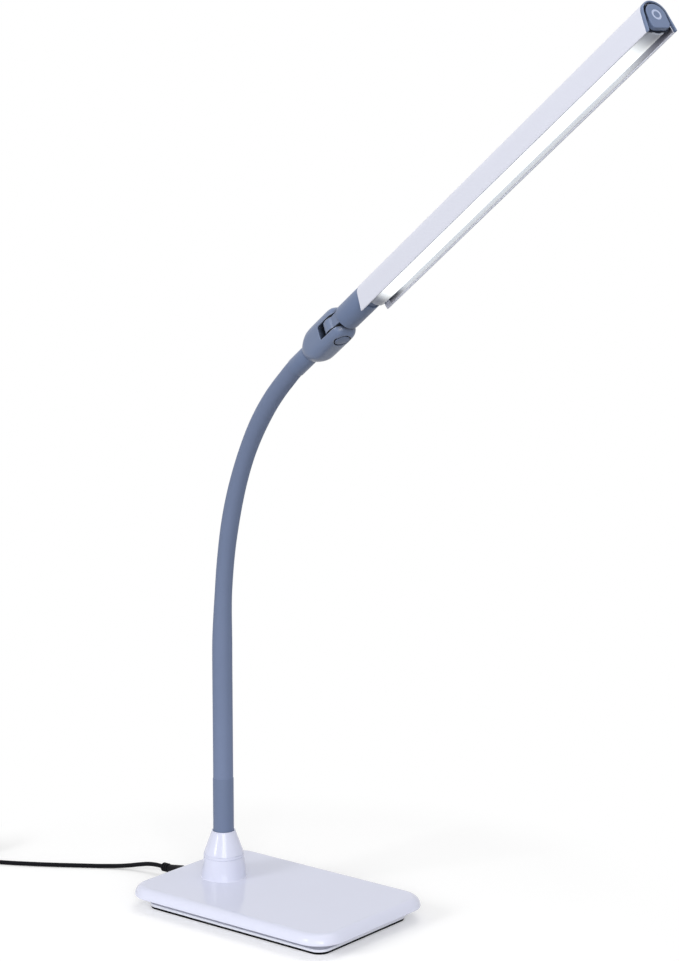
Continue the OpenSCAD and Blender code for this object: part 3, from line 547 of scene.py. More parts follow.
def loft(rings, closed=False):
    """Joins rings of equally many points. A closed loft joins the last to the first, others get end faces."""
    count = len(rings[0])
    points = [point for ring in rings for point in ring]
    faces = []
    for i in range(len(rings) if closed else len(rings) - 1):
        here = i * count
        there = (i + 1) % len(rings) * count
        for j in range(count):
            k = (j + 1) % count
            faces.append((here + j, here + k, there + k, there + j))
    if not closed:
        faces.append(tuple(reversed(range(count))))
        faces.append(tuple(range(len(points) - count, len(points))))
    return points, faces


def lathe(outline, closed=False):
    """Turns an outline of radius and height about Z."""
    turns = full_turn(LATHE_SIDES)
    rings = [[(r * math.cos(a), r * math.sin(a), z) for a in turns] for r, z in outline]
    return loft(rings, closed)


def rounded(outline, radius, closed=False):
    """Bends round each corner of an outline, cut back by a radius or by a third of its shorter side."""
    ends = [Vector(point) for point in outline]
    last = len(ends) - 1
    made = []
    for i, corner in enumerate(ends):
        if not closed and i in (0, last):
            made.append(corner)
            continue
        back = ends[i - 1] - corner
        on = ends[(i + 1) % len(ends)] - corner
        cut = min(radius, back.length / 3, on.length / 3)
        start = corner + back.normalized() * cut
        stop = corner + on.normalized() * cut
        for step in range(ROUND_STEPS + 1):
            t = step / ROUND_STEPS
            made.append((1 - t) ** 2 * start + 2 * t * (1 - t) * corner + t ** 2 * stop)
    return made


def turned_rod(outline, edge_round):
    """A turned solid: an outline that starts and ends on the axis, with its corners rounded."""
    return lathe(rounded([(max(r, AXIS_R), z) for r, z in outline], edge_round))


def turned_tube(outline, edge_round):
    """A turned piece with a bore: an outline that closes on itself, with its corners rounded."""
    return lathe(rounded(outline, edge_round, closed=True), closed=True)


print("a turned piece has", LATHE_SIDES, "sides")

# %% [markdown]
# ## Pieces that ride on the frame
# A visible piece belongs to one body of the frame and moves with it, and it stands for one or more of the
# solid parts. One function makes the object, shades it smooth but for its sharp edges, parents it to its body
# and hides the solid parts it stands for. Weighted normals help where a large flat face meets a small radius:
# they keep the flat face truly flat.

# %% Define how a piece is made
SHARP_ANGLE = math.radians(35)


def add_piece(name, mesh_data, finish, body=None, stands_for=(), matrix=None):
    """Makes an object of points and faces, smooth but for sharp edges, and lets it ride on a body."""
    mesh = bpy.data.meshes.new(name)
    mesh.from_pydata([tuple(point) for point in mesh_data[0]], [], mesh_data[1])
    work = bmesh.new()
    work.from_mesh(mesh)
    bmesh.ops.recalc_face_normals(work, faces=work.faces)
    work.to_mesh(mesh)
    work.free()
    if matrix:
        mesh.transform(matrix)
    mesh.shade_smooth()
    mesh.set_sharp_from_angle(angle=SHARP_ANGLE)
    mesh.materials.append(finish)
    piece = bpy.data.objects.new(name, mesh)
    scene.collection.objects.link(piece)
    if body:
        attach(piece, body)
    if stands_for:
        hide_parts(*stands_for)
    return piece


def even_normals(piece):
    """Lets large flat faces keep their own normal, so that reflections in them stay straight."""
    piece.modifiers.new("even", "WEIGHTED_NORMAL").keep_sharp = True


def show(title, *pieces):
    """Prints how many points each new piece has."""
    print(title + ":", {piece.name: len(piece.data.vertices) for piece in pieces})


print("edges stay sharp from", round(math.degrees(SHARP_ANGLE)), "degrees")

# %% [markdown]
# ## The lead's route
# The lead is a thin black low-voltage cord. It leaves the plug straight, sinks to the table under its own
# weight and wanders off to the side. Its spare length is wound into a coil of four flat layers, tied with a
# band, and it ends in a plug-in adapter. The free stretches are a few listed points, as a cord lies by
# chance, but the coil is wound by a rule, so its turns are worked out.

# %% Work out the lead's points
RUN_ROUTE = [
    (-128.3, 10, 8.1), (-136, 10, 8), (-144, 9.2, 7.2), (-152, 7.4, 5.6), (-160, 4.6, 3.9), (-168, 1, 2.7),
    (-176, -3.4, 2.1), (-184, -8.4, 1.8), (-192, -13.8, 1.8), (-200, -19.2, 1.8), (-208, -24.6, 1.8),
    (-216, -29.8, 1.8), (-224, -34.8, 1.8), (-232, -39.6, 1.8), (-240, -44.2, 1.8), (-248, -48.6, 1.8),
    (-256, -52.8, 1.9), (-264, -56.6, 2), (-272, -60, 2.2), (-280, -62.6, 2.4), (-288, -64.2, 2.45),
    (-296.6, -64.4, 2.45)
]
TAIL_ROUTE = [(-334.5, -49.2, 14.5), (-339.5, -46.4, 14.7), (-345, -44.6, 14.9), (-351, -44, 15)]
COIL_CENTRE = (-308, -36)
COIL_RADIUS = 26.7
COIL_PITCH = 4.0
COIL_LAYERS = 4
COIL_TURNS = 12.125
COIL_LOW = 2.45
COIL_FROM = 270
CLIMB_TURNS = 0.5
RINGS_PER_TURN = 24


def smooth_step(t):
    """Rises from 0 to 1 with level ends."""
    t = min(1.0, max(0.0, t))
    return t * t * (3 - 2 * t)


def coil_point(turns):
    """A place in the coil, which spirals in and out again and climbs where it turns back."""
    layer_turns = COIL_TURNS / COIL_LAYERS
    layer = min(int(turns / layer_turns), COIL_LAYERS - 1)
    share = turns / layer_turns - layer
    inward = share if layer % 2 == 0 else 1 - share
    radius = COIL_RADIUS - COIL_PITCH * layer_turns * inward
    climbs = [smooth_step((turns - m * layer_turns) / CLIMB_TURNS + 0.5) for m in range(1, COIL_LAYERS)]
    angle = math.radians(COIL_FROM - turns * 360)
    return Vector((COIL_CENTRE[0] + radius * math.cos(angle), COIL_CENTRE[1] + radius * math.sin(angle),
                   COIL_LOW + COIL_PITCH * sum(climbs)))


coil_steps = math.ceil(COIL_TURNS * RINGS_PER_TURN)
coil = [coil_point(i * COIL_TURNS / coil_steps) for i in range(coil_steps + 1)]
cord_points = [Vector(point) for point in RUN_ROUTE] + coil + [Vector(point) for point in TAIL_ROUTE]
print("cord points:", len(cord_points))

# %% [markdown]
# ## The lead itself
# A curve with a round bevel is the plainest way to make a cord: its thickness is one number, and its handles
# are set by themselves so that it never kinks. One curve carries all of the lead, so it is one unbroken cord
# from the plug to the adapter. It rides on the base and takes the place of the frame's lengths of cord.

# %% Lay the lead
CORD_D = 3.5 * MM
curve = bpy.data.curves.new("power_cord", "CURVE")
curve.dimensions = "3D"
curve.bevel_depth = CORD_D / 2
curve.bevel_resolution = 5
curve.resolution_u = 4
curve.use_fill_caps = True
curve.materials.append(cord_jacket)
spline = curve.splines.new("BEZIER")
spline.bezier_points.add(len(cord_points) - 1)
for bezier, point in zip(spline.bezier_points, cord_points):
    bezier.co = point * MM
    bezier.handle_left_type = "AUTO"
    bezier.handle_right_type = "AUTO"
power_cord = bpy.data.objects.new("power_cord", curve)
scene.collection.objects.link(power_cord)
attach(power_cord, "base")
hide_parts("cord_run", "cord_coil", "cord_tail")

# %% [markdown]
# ## The outline of the base
# Seen from above, the base is a rectangle with round corners, and its edge rolls over from a flat top
# to a rim. A bevelled box would come near, but lofting the same rounded outline at several heights
# gives that roll exactly. The sides get evenly spaced points too, which the cover needs where its rings
# turn into circles.

# %% Draw the outline of the base
BASE_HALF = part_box("base_cover")[1].xy
BASE_CORNER = 22 * MM
CORNER_STEPS = 14
SIDE_STEPS = (36, 24)


def corner_middle(turn):
    """The middle of one of the base's four round corners, counted from the front left."""
    reach = BASE_HALF - Vector((BASE_CORNER, BASE_CORNER))
    return Vector((reach.x if turn % 4 in (0, 3) else -reach.x, reach.y if turn % 4 < 2 else -reach.y))


def slab_ring(inset, z):
    """The base's outline from above, drawn in by an inset, with its side points evenly spaced."""
    r = BASE_CORNER - inset
    ring = []
    for turn in range(4):
        for step in range(CORNER_STEPS + 1):
            a = math.pi / 2 * (turn + step / CORNER_STEPS)
            ring.append(corner_middle(turn) + r * Vector((math.cos(a), math.sin(a))))
        start = ring[-1]
        goal = corner_middle(turn + 1) + r * Vector((math.cos(a), math.sin(a)))
        steps = SIDE_STEPS[turn % 2]
        ring += [start.lerp(goal, step / steps) for step in range(1, steps)]
    return [(point.x, point.y, z) for point in ring]


def quarter(steps):
    """Cosines and sines of a quarter circle in even steps."""
    turns = [math.pi / 2 * i / steps for i in range(steps + 1)]
    return [(math.cos(a), math.sin(a)) for a in turns]


edge_outline = slab_ring(0, 0)
print("base in mm:", [round(2 * half / MM) for half in BASE_HALF], "and points round it:", len(edge_outline))

# %% [markdown]
# ## The cover of the base and its boss
# The cover is one polished shell, with the boss for the neck moulded to it. A boolean could join the
# two, but it would leave uneven faces round the boss, and polished plastic shows every one of them.
# Here the rings change from circles round the neck to the base's outline, point by point, so the fillet
# at the foot of the boss is clean, and the flat top mirrors the boss as it should.

# %% Build the cover
BASE_TOP = 18.5 * MM
RIM = 11.3 * MM
LIP_INSET = 3.6 * MM
LIP_DROP = 1.3 * MM
LIP_STEPS = 6
COVER_WALL = 2.4 * MM
EDGE_STEPS = 12
BOSS_R = 15.9 * MM
BOSS_FOOT_R = 17.6 * MM
BOSS_FILLET = 0.9 * MM
FILLET_STEPS = 8
SEAM = 35.2 * MM
SEAM_ROUND = 0.5 * MM
SEAM_STEPS = 4
KEY_R = 12.3 * MM
KEY_TOP = 37.4 * MM
STUD_R = 5.6 * MM
bearings = [math.atan2(y - NECK_FOOT.y, x - NECK_FOOT.x) for x, y, z in edge_outline]


def boss_ring(radius, z):
    """A circle round the neck whose points face the points of the base's outline."""
    return [(NECK_FOOT.x + radius * math.cos(a), NECK_FOOT.y + radius * math.sin(a), z) for a in bearings]


roll = BASE_TOP - RIM
inner_r = BOSS_R - SEAM_ROUND
boss_outline = [(STUD_R, KEY_TOP), (KEY_R, KEY_TOP), (KEY_R, SEAM), (inner_r, SEAM)]
boss_outline += [(inner_r + SEAM_ROUND * s, SEAM - SEAM_ROUND + SEAM_ROUND * c)
                 for c, s in quarter(SEAM_STEPS)]
boss_outline += [(BOSS_FOOT_R + BOSS_FILLET * (1 - c), BASE_TOP + BOSS_FILLET * (1 - s))
                 for c, s in quarter(FILLET_STEPS)]
cover_rings = [boss_ring(r, z) for r, z in boss_outline]
cover_rings += [slab_ring(roll * (1 - s), RIM + roll * c) for c, s in quarter(EDGE_STEPS)]
cover_rings += [slab_ring(LIP_INSET * (1 - c), RIM - LIP_DROP * s) for c, s in quarter(LIP_STEPS)][1:]
cover_rings += [slab_ring(LIP_INSET + COVER_WALL, RIM - LIP_DROP),
                slab_ring(roll + COVER_WALL, BASE_TOP - COVER_WALL),
                boss_ring(STUD_R, BASE_TOP - COVER_WALL)]
cover = add_piece("base_shell", loft(cover_rings, closed=True), base_gloss, "base", ["base_cover"])
even_normals(cover)
show("cover", cover)

# %% [markdown]
# ## The tray and the foot
# Under the cover lies a shallow tray, drawn in so far that it stays in shade, and below it a black foot pad.
# A shallow groove parts the tray's pale plinth from the cover's lip. The groove is a band of the tray itself,
# and its faces get a second, darker grey finish that paints the shade in the gap. The foot's lower edge is
# eased a little, as cut foam is.

# %% Loft the tray and the foot
PAD = 2.0 * MM
PLINTH_TOP = 3.9 * MM
PLINTH_INSET = 12.0 * MM
RECESS_INSET = 13.0 * MM
RECESS_TOP = 7.6 * MM
TRAY_TUCK = 0.2 * MM
TRAY_GAP = 0.02 * MM
FOOT_INSET = 12.6 * MM
FOOT_EASE = 0.3 * MM
tray_rings = [slab_ring(PLINTH_INSET, PAD), slab_ring(PLINTH_INSET, PLINTH_TOP),
              slab_ring(RECESS_INSET, PLINTH_TOP), slab_ring(RECESS_INSET, RECESS_TOP),
              slab_ring(LIP_INSET + TRAY_TUCK, RIM - LIP_DROP - TRAY_GAP)]
tray = add_piece("base_bottom", loft(tray_rings), tray_satin, "base", ["base_tray"])
# The groove's faces take the darker grey that paints the gap's shade.
tray.data.materials.append(recess_painted_shade)
for face in tray.data.polygons:
    if PLINTH_TOP < face.center.z < RECESS_TOP:
        face.material_index = 1
foot_rings = [slab_ring(FOOT_INSET + FOOT_EASE, 0), slab_ring(FOOT_INSET, FOOT_EASE),
              slab_ring(FOOT_INSET, PAD)]
foot = add_piece("foot_cushion", loft(foot_rings), foot_rubber, "base", ["foot_pad"])
show("tray and foot", tray, foot)

# %% [markdown]
# ## The collar and the foot of the neck
# A conical collar slips over the neck and closes the socket. It has a short upright band, a fine
# groove, a cone and a thin lip round the neck. Above it a stiff ferrule holds the end of the soft
# sleeve. Both are turned parts, so their outlines are drawn as a turner would read them, from the
# inside out, and are spun about the neck.

# %% Turn the collar and the lower ferrule
FERRULE_R = 8.1 * MM
FERRULE_FOOT = 38.3 * MM
FERRULE_TOP = 97.9 * MM
FERRULE_ROUND = 0.4 * MM
COLLAR_TOP = 55.9 * MM
BAND_TOP = SEAM + 2.6 * MM
BAND_R = 15.7 * MM
GROOVE = 0.35 * MM
GROOVE_R = 15.3 * MM
CONE_FOOT_R = 15.65 * MM
CONE_BREAK = SEAM + 3.7 * MM
CONE_BREAK_R = 15.3 * MM
MOUTH_R = 9.3 * MM
MOUTH_FOOT_R = 9.4 * MM
MOUTH_HIGH = 0.9 * MM
MOUTH_DEEP = 3 * MM
KEY_GAP = 0.1 * MM
MOUTH_GAP = 0.15 * MM
key_bore_r = KEY_R + KEY_GAP
mouth_bore_r = FERRULE_R + MOUTH_GAP
collar_outline = [
    (key_bore_r, SEAM), (BOSS_R, SEAM), (BAND_R, BAND_TOP - GROOVE), (GROOVE_R, BAND_TOP - GROOVE),
    (GROOVE_R, BAND_TOP), (CONE_FOOT_R, BAND_TOP), (CONE_BREAK_R, CONE_BREAK),
    (MOUTH_FOOT_R, COLLAR_TOP - MOUTH_HIGH), (MOUTH_R, COLLAR_TOP), (mouth_bore_r, COLLAR_TOP),
    (mouth_bore_r, COLLAR_TOP - MOUTH_DEEP), (key_bore_r, CONE_BREAK)
]
collar = add_piece("socket_collar", turned_tube(collar_outline, SEAM_ROUND), base_gloss, "base",
                   ["neck_collar"], at_neck)
ferrule_outline = [(0, FERRULE_FOOT), (FERRULE_R, FERRULE_FOOT), (FERRULE_R, FERRULE_TOP), (0, FERRULE_TOP)]
ferrule = add_piece("lower_ferrule", turned_rod(ferrule_outline, FERRULE_ROUND), ferrule_plastic, "base",
                    ["neck_ferrule_lower"], at_neck)
show("socket", collar, ferrule)

# %% [markdown]
# ## The line of the gooseneck
# The neck is a bendable core in a soft sleeve, and the sleeve looks like one smooth tube. In the frame
# it is a chain of stiff links, so its line passes through the middle of each link along the link's
# direction, and bends smoothly between them. The tube is fuller near the foot, and thins and swells a
# little further up, so its thickness is eased between a few measured heights.

# %% Find the sleeve's line and thickness
SLEEVE_D = [(98, 15.6), (200, 15.6), (250, 13.4), (272, 13.4), (305, 13.8), (355, 13.1), (390, 13.8),
            (430, 13.6)]
SLEEVE_END = 0.4 * MM


def sleeve_radius(height):
    """The sleeve's radius at a height, eased between the measured places."""
    z = height / MM
    for (low, low_d), (high, high_d) in zip(SLEEVE_D, SLEEVE_D[1:]):
        if z <= high:
            return (low_d + (high_d - low_d) * smooth_step((z - low) / (high - low))) / 2 * MM
    return SLEEVE_D[-1][1] / 2 * MM


def hermite(start, stop, t):
    """A place and a direction on the smooth curve between two places with given directions."""
    (p, a), (q, b) = start, stop
    reach = (q - p).length
    place = ((2 * t**3 - 3 * t**2 + 1) * p + (t**3 - 2 * t**2 + t) * reach * a
             + (3 * t**2 - 2 * t**3) * q + (t**3 - t**2) * reach * b)
    along = ((6 * t**2 - 6 * t) * p + (3 * t**2 - 4 * t + 1) * reach * a
             + (6 * t - 6 * t**2) * q + (3 * t**2 - 2 * t) * reach * b)
    return place, along.normalized()


cuts = [(NECK_FOOT + UP * FERRULE_TOP, UP)]
cuts += [((a + b) / 2, (b - a).normalized()) for a, b in zip(neck_points, neck_points[1:])]
cuts += [(neck_points[-1] + SLEEVE_END * BAR, BAR)]
print("the sleeve has", len(cuts) - 1, "lengths, from", [round(v, 3) for v in cuts[0][0]])

# %% [markdown]
# ## The sleeve
# One skin over all the links would need bones and weights. Cutting the tube in the middle of each link, where
# nothing bends, is simpler: each length between two cuts covers just one joint. The last length lies past the
# last joint, so it rides on the end of the neck, and so does the short ferrule that closes the sleeve.

# %% Sweep the sleeve and turn the upper ferrule
SLEEVE_SIDES = 64
SLEEVE_STEPS = 16
TIP_FERRULE_R = 7.2 * MM
TIP_ROUND = 0.5 * MM
TIP_TUCK = 1 * MM
YOKE_TAIL = 38 * MM
sleeve_turns = full_turn(SLEEVE_SIDES)
sleeve_bodies = ["base"] + [joint["child"] for joint in neck_joints]
sleeves = []
for i, (start, stop) in enumerate(zip(cuts, cuts[1:])):
    rings = []
    for step in range(SLEEVE_STEPS + 1):
        place, along = hermite(start, stop, step / SLEEVE_STEPS)
        across = along.cross(LEFT)
        r = sleeve_radius(place.z)
        rings.append([place + r * (math.cos(a) * LEFT + math.sin(a) * across) for a in sleeve_turns])
    sleeve = add_piece(f"sleeve_{i}", loft(rings), sleeve_rubber)
    if i < len(neck_joints):
        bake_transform(sleeve)
        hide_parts(f"neck_sleeve_{i + 1}")
    else:
        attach(sleeve, sleeve_bodies[i])
    sleeves.append(sleeve)
tip_low = SLEEVE_END - NECK_TO_HINGE
tip_high = TIP_TUCK - YOKE_TAIL
tip_outline = [(0, tip_low), (TIP_FERRULE_R, tip_low), (TIP_FERRULE_R, tip_high), (0, tip_high)]
tip_ferrule = add_piece("upper_ferrule", turned_rod(tip_outline, TIP_ROUND), slate_plastic, sleeve_bodies[-1],
                        ["neck_ferrule_upper"], on_bar)
show("neck", *sleeves, tip_ferrule)

# %% [markdown]
# ## Cutting and softening solids
# The knuckle's two halves are moulded, with slots, seats and a spigot, and every edge of a moulding has
# the same small radius. A Bevel modifier struggles where cuts meet a curved shape. So the solids are
# lofted, then cut and joined with true booleans, and a fine remesh with a little smoothing rounds all
# the edges alike.

# %% Define how solids are cut and softened
KEPT_FACES = 0.3


def solid(name, mesh_data):
    """A bare helper solid for cutting or joining."""
    return add_piece(name, mesh_data, slate_plastic)


def box_solid(name, low, high):
    """A box between two corners."""
    rings = [[(low[0], low[1], z), (high[0], low[1], z), (high[0], high[1], z), (low[0], high[1], z)]
             for z in (low[2], high[2])]
    return solid(name, loft(rings))


def pin_solid(name, radius, start, stop):
    """A round bar along local X."""
    piece = solid(name, lathe([(radius, start), (radius, stop)]))
    piece.data.transform(Matrix.Rotation(math.pi / 2, 4, "Y"))
    return piece


def apply_modifiers(piece):
    """Turns what the modifiers show into the piece's own mesh."""
    shown = piece.evaluated_get(bpy.context.evaluated_depsgraph_get())
    made = bpy.data.meshes.new_from_object(shown)
    piece.modifiers.clear()
    piece.data = made


def combine(piece, operation, *tools):
    """Cuts tools from a piece or joins them to it, and removes them."""
    for tool in tools:
        step = piece.modifiers.new("combine", "BOOLEAN")
        step.operation = operation
        step.solver = "EXACT"
        step.object = tool
        apply_modifiers(piece)
        bpy.data.objects.remove(tool)


def soften(piece, voxel, passes):
    """Rounds all edges alike: a fine remesh, a little smoothing and fewer faces where it is flat."""
    fine = piece.modifiers.new("fine", "REMESH")
    fine.mode = "VOXEL"
    fine.voxel_size = voxel
    smooth = piece.modifiers.new("smooth", "SMOOTH")
    smooth.iterations = passes
    fewer = piece.modifiers.new("fewer", "DECIMATE")
    fewer.ratio = KEPT_FACES
    apply_modifiers(piece)
    piece.data.shade_smooth()


def finish_solid(piece, finish, body, stands_for, matrix):
    """Gives a shaped solid its place, finish and body."""
    piece.data.transform(matrix)
    piece.data.materials.clear()
    piece.data.materials.append(finish)
    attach(piece, body)
    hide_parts(*stands_for)


print("softening keeps", KEPT_FACES, "of the faces")

# %% [markdown]
# ## The fork
# The fork on the end of the neck is a bullet with a rounded square section, slotted for the tongue of
# the light bar, and its two ears are domed. Its section changes all the way from a small circle to a
# rounded square, so one formula gives the section at each height, and a soft minimum blends the
# bullet's slope into the square.

# %% Shape the fork
RING_POINTS = 96
SQUARENESS = 3.3
YOKE_HALF = Vector((12.4, 10)) * MM
YOKE_END_R = 8.2 * MM
YOKE_SLOPE = 0.55
YOKE_STEP = 1.2 * MM
TAIL_RINGS = 32
EAR_RINGS = 10
EAR_DOME = 5.5 * MM
EAR_R = 12 * MM
EAR_TIP = 0.3 * MM
EAR_LEAST = 0.5 * MM
SLOT = 10.4 * MM
SLOT_BACK = 11.3 * MM
CAP_R = 5.55 * MM
CAP_FACE = 11.9 * MM
CAP_GROOVE = 0.7 * MM
CAP_SEAT = CAP_FACE - 1.3 * MM
CUT_REACH = 40 * MM
FINE = 0.34 * MM


def soft_min(a, b, power=12):
    """The smaller of two lengths, with a rounded change-over."""
    return (a ** -power + b ** -power) ** (-1 / power)


def yoke_ring(z):
    """The fork's section at a distance from the hinge."""
    swell = YOKE_END_R + YOKE_SLOPE * (z + YOKE_TAIL)
    half_x, half_y = YOKE_HALF
    if z > 0:
        half_x -= EAR_DOME * (z / EAR_R) ** 3
        half_y = soft_min(half_y, math.sqrt(max(EAR_R ** 2 - z ** 2, EAR_LEAST ** 2)))
    ring = []
    for a in full_turn(RING_POINTS):
        square = (abs(math.cos(a) / half_x) ** SQUARENESS
                  + abs(math.sin(a) / half_y) ** SQUARENESS) ** (-1 / SQUARENESS)
        r = soft_min(swell, square)
        ring.append((r * math.cos(a), r * math.sin(a), z))
    return ring


yoke_heights = [i * YOKE_STEP - YOKE_TAIL for i in range(TAIL_RINGS)]
yoke_heights += [YOKE_STEP / 2 + i * YOKE_STEP for i in range(EAR_RINGS)] + [EAR_R - EAR_TIP, EAR_R]
yoke = solid("tilt_fork", loft([yoke_ring(z) for z in yoke_heights]))
slot_low = (-SLOT / 2, -CUT_REACH, -SLOT_BACK)
slot_high = (SLOT / 2, CUT_REACH, CUT_REACH)
combine(yoke, "DIFFERENCE",
        box_solid("slot_cut", slot_low, slot_high),
        pin_solid("cap_cut", CAP_R + CAP_GROOVE, CAP_SEAT, CUT_REACH),
        pin_solid("far_cap_cut", CAP_R + CAP_GROOVE, -CUT_REACH, -CAP_SEAT))
soften(yoke, FINE, passes=5)
finish_solid(yoke, knuckle_plastic, sleeve_bodies[-1], ["tilt_yoke"], on_bolt)
show("fork", yoke)

# %% [markdown]
# ## The tongue and the bolt's caps
# The tongue is a round barrel in the fork's slot, with a neck and a spigot that the light bar turns on.
# It is joined from three plain solids, which is how a designer would build it. Two low domed caps hide
# the bolt's head and its nut. They are one turned shape, laid once on each side.

# %% Join the tongue and turn the caps
TONGUE = 8.5 * MM
BARREL_R = 10 * MM
STEM_START = 13.5 * MM
SHOULDER_HALF = 8.4 * MM
SHOULDER_TOP = STEM_START - 0.2 * MM
SPIGOT_R = 7.5 * MM
SPIGOT_START = STEM_START - 1 * MM
SPIGOT_END = 48.7 * MM
CAP_BACK = CAP_FACE - 1.4 * MM
CAP_DOME = 0.3 * MM
CAP_ROUND = 0.5 * MM
CAP_GAP = 0.05 * MM
cap_edge_r = CAP_R - CAP_GAP
tongue = pin_solid("swing_tongue", BARREL_R, -TONGUE / 2, TONGUE / 2)
shoulder_low = (-TONGUE / 2, -SHOULDER_HALF, 0)
shoulder_high = (TONGUE / 2, SHOULDER_HALF, SHOULDER_TOP)
combine(tongue, "UNION",
        box_solid("tongue_neck", shoulder_low, shoulder_high),
        solid("spigot", lathe([(SPIGOT_R, SPIGOT_START), (SPIGOT_R, SPIGOT_END)])))
soften(tongue, FINE, passes=4)
finish_solid(tongue, knuckle_plastic, "knuckle", ["knuckle_tongue"], on_bolt)
cap_outline = [(0, CAP_BACK), (cap_edge_r, CAP_BACK), (cap_edge_r, CAP_FACE), (0, CAP_FACE + CAP_DOME)]
caps = []
for name, side in (("bolt_cap_1", 1), ("bolt_cap_2", -1)):
    turn = Matrix.Rotation(side * math.pi / 2, 4, "Y")
    caps.append(add_piece(name, turned_rod(cap_outline, CAP_ROUND), slate_plastic, sleeve_bodies[-1],
                          ["pivot_caps"], on_bolt @ turn))
show("tongue and caps", tongue, *caps)

# %% [markdown]
# ## The hood's profile
# The hood is one extruded profile: a round back whose sides run straight on to two open edges. The
# sides touch the round back without a corner, so the place where they touch is worked out from the
# radius and the opening. The same line, drawn in by the wall, gives the inside, the lining and the trim
# at the end.

# %% Draw the hood's profile
HOOD_R = 10 * MM
HOOD_HALF = 11.9 * MM
HOOD_DROP = 10.9 * MM
SIDE_PARTS = 6
BACK_PARTS = 60


def hood_path(inset, past=0.0):
    """The hood's line from one open edge round the back to the other, in the bar's X and Y."""
    reach = math.hypot(HOOD_DROP, HOOD_HALF)
    touch = math.atan2(HOOD_HALF, HOOD_DROP) + math.acos(HOOD_R / reach)
    r = HOOD_R - inset
    start = r * Vector((math.cos(touch), math.sin(touch)))
    slope = Vector((math.sin(touch), -math.cos(touch)))
    edge = start + slope * (HOOD_DROP + past - start.x) / slope.x
    side = [edge.lerp(start, i / SIDE_PARTS) for i in range(SIDE_PARTS)]
    sweep = 2 * math.pi - 2 * touch
    turns = [touch + sweep * i / BACK_PARTS for i in range(BACK_PARTS + 1)]
    back = [r * Vector((math.cos(a), math.sin(a))) for a in turns]
    return side + back + [Vector((point.x, -point.y)) for point in reversed(side)]


print("the hood's profile has", len(hood_path(0)), "points")

# %% [markdown]
# ## Extruding a thin channel
# The hood, its lining and the trim are all thin channels. A Solidify modifier would leave square lips,
# and a bent sheet or an extrusion has round ones. So the strip between two lines is extruded here with
# half circles at its open edges, and both ends are eased a little so that they catch the light.

# %% Extrude the hood and its lining
HOOD_START = 43.5 * MM
HOOD_END = 377.5 * MM
HOOD_WALL = 1.2 * MM
HOOD_EASE = 0.25 * MM
LINING = 0.5 * MM
LINING_SHORT = -0.5 * MM
LINING_GAP = 0.2 * MM
LINING_EASE = 0.1 * MM
SEAT_GAP = 0.05 * MM
TUBE_START = 50.5 * MM
LIP_TURNS = (0.25 * math.pi, 0.5 * math.pi, 0.75 * math.pi)
LIP_POINTS = len(LIP_TURNS)


def channel(outer, inner, start, stop, start_ease, stop_ease):
    """Extrudes the strip between two equally long lines along Z, with round lips and eased ends."""
    middle = [(a + b) / 2 for a, b in zip(outer, inner)]
    last = len(outer) - 1

    def lip(end, inward):
        """The points of the half circle that closes the strip at one end."""
        across = (outer[end] - inner[end]) / 2
        out = (middle[end] - middle[inward]).normalized() * across.length
        return [middle[end] + math.cos(a) * across + math.sin(a) * out for a in LIP_TURNS]

    ring = list(outer) + lip(last, last - 1) + list(reversed(inner)) + lip(0, 1)[::-1]
    hearts = middle + [middle[last]] * LIP_POINTS + list(reversed(middle)) + [middle[0]] * LIP_POINTS
    thick = (outer[0] - inner[0]).length

    def ring_at(z, ease):
        """The strip's section at a height, drawn in on all sides."""
        share = 1 - 2 * ease / thick
        drawn_in = [heart + (point - heart) * share for point, heart in zip(ring, hearts)]
        return [(point.x, point.y, z) for point in drawn_in]

    points, faces = loft([ring_at(start, start_ease), ring_at(start + start_ease, 0),
                          ring_at(stop - stop_ease, 0), ring_at(stop, stop_ease)])
    faces = faces[:-2]
    count = len(ring)
    for first in (0, len(points) - count):
        inner_end = first + last + 1 + LIP_POINTS
        inner_at = [inner_end + last - i for i in range(last + 1)]
        for i in range(last):
            faces.append((first + i, first + i + 1, inner_at[i + 1], inner_at[i]))
        faces.append((*range(first + last, inner_end), inner_at[last]))
        faces.append((first, inner_at[0], *range(first + count - LIP_POINTS, first + count)))
    return points, faces


hood = add_piece("hood_shell",
                 channel(hood_path(0), hood_path(HOOD_WALL), HOOD_START, HOOD_END, HOOD_EASE, HOOD_EASE),
                 hood_paint, "head", ["hood"], on_bar)
lining_out = HOOD_WALL + SEAT_GAP
lining = add_piece("hood_lining",
                   channel(hood_path(lining_out, LINING_SHORT), hood_path(lining_out + LINING, LINING_SHORT),
                           TUBE_START + LINING_GAP, HOOD_END - LINING_GAP, LINING_EASE, LINING_EASE),
                   silver_lining, "head", ["reflector"], on_bar)
show("hood", hood, lining)

# %% [markdown]
# ## The stem and the tube
# The stem is the turned socket that the bar swivels on. The opal tube starts where the stem ends under
# the hood, and hangs a little below the bar's middle. It is a real tube with a wall, because the boards
# and the light chips lie in it. Both are turned parts again, so each is one outline spun about its own
# axis.

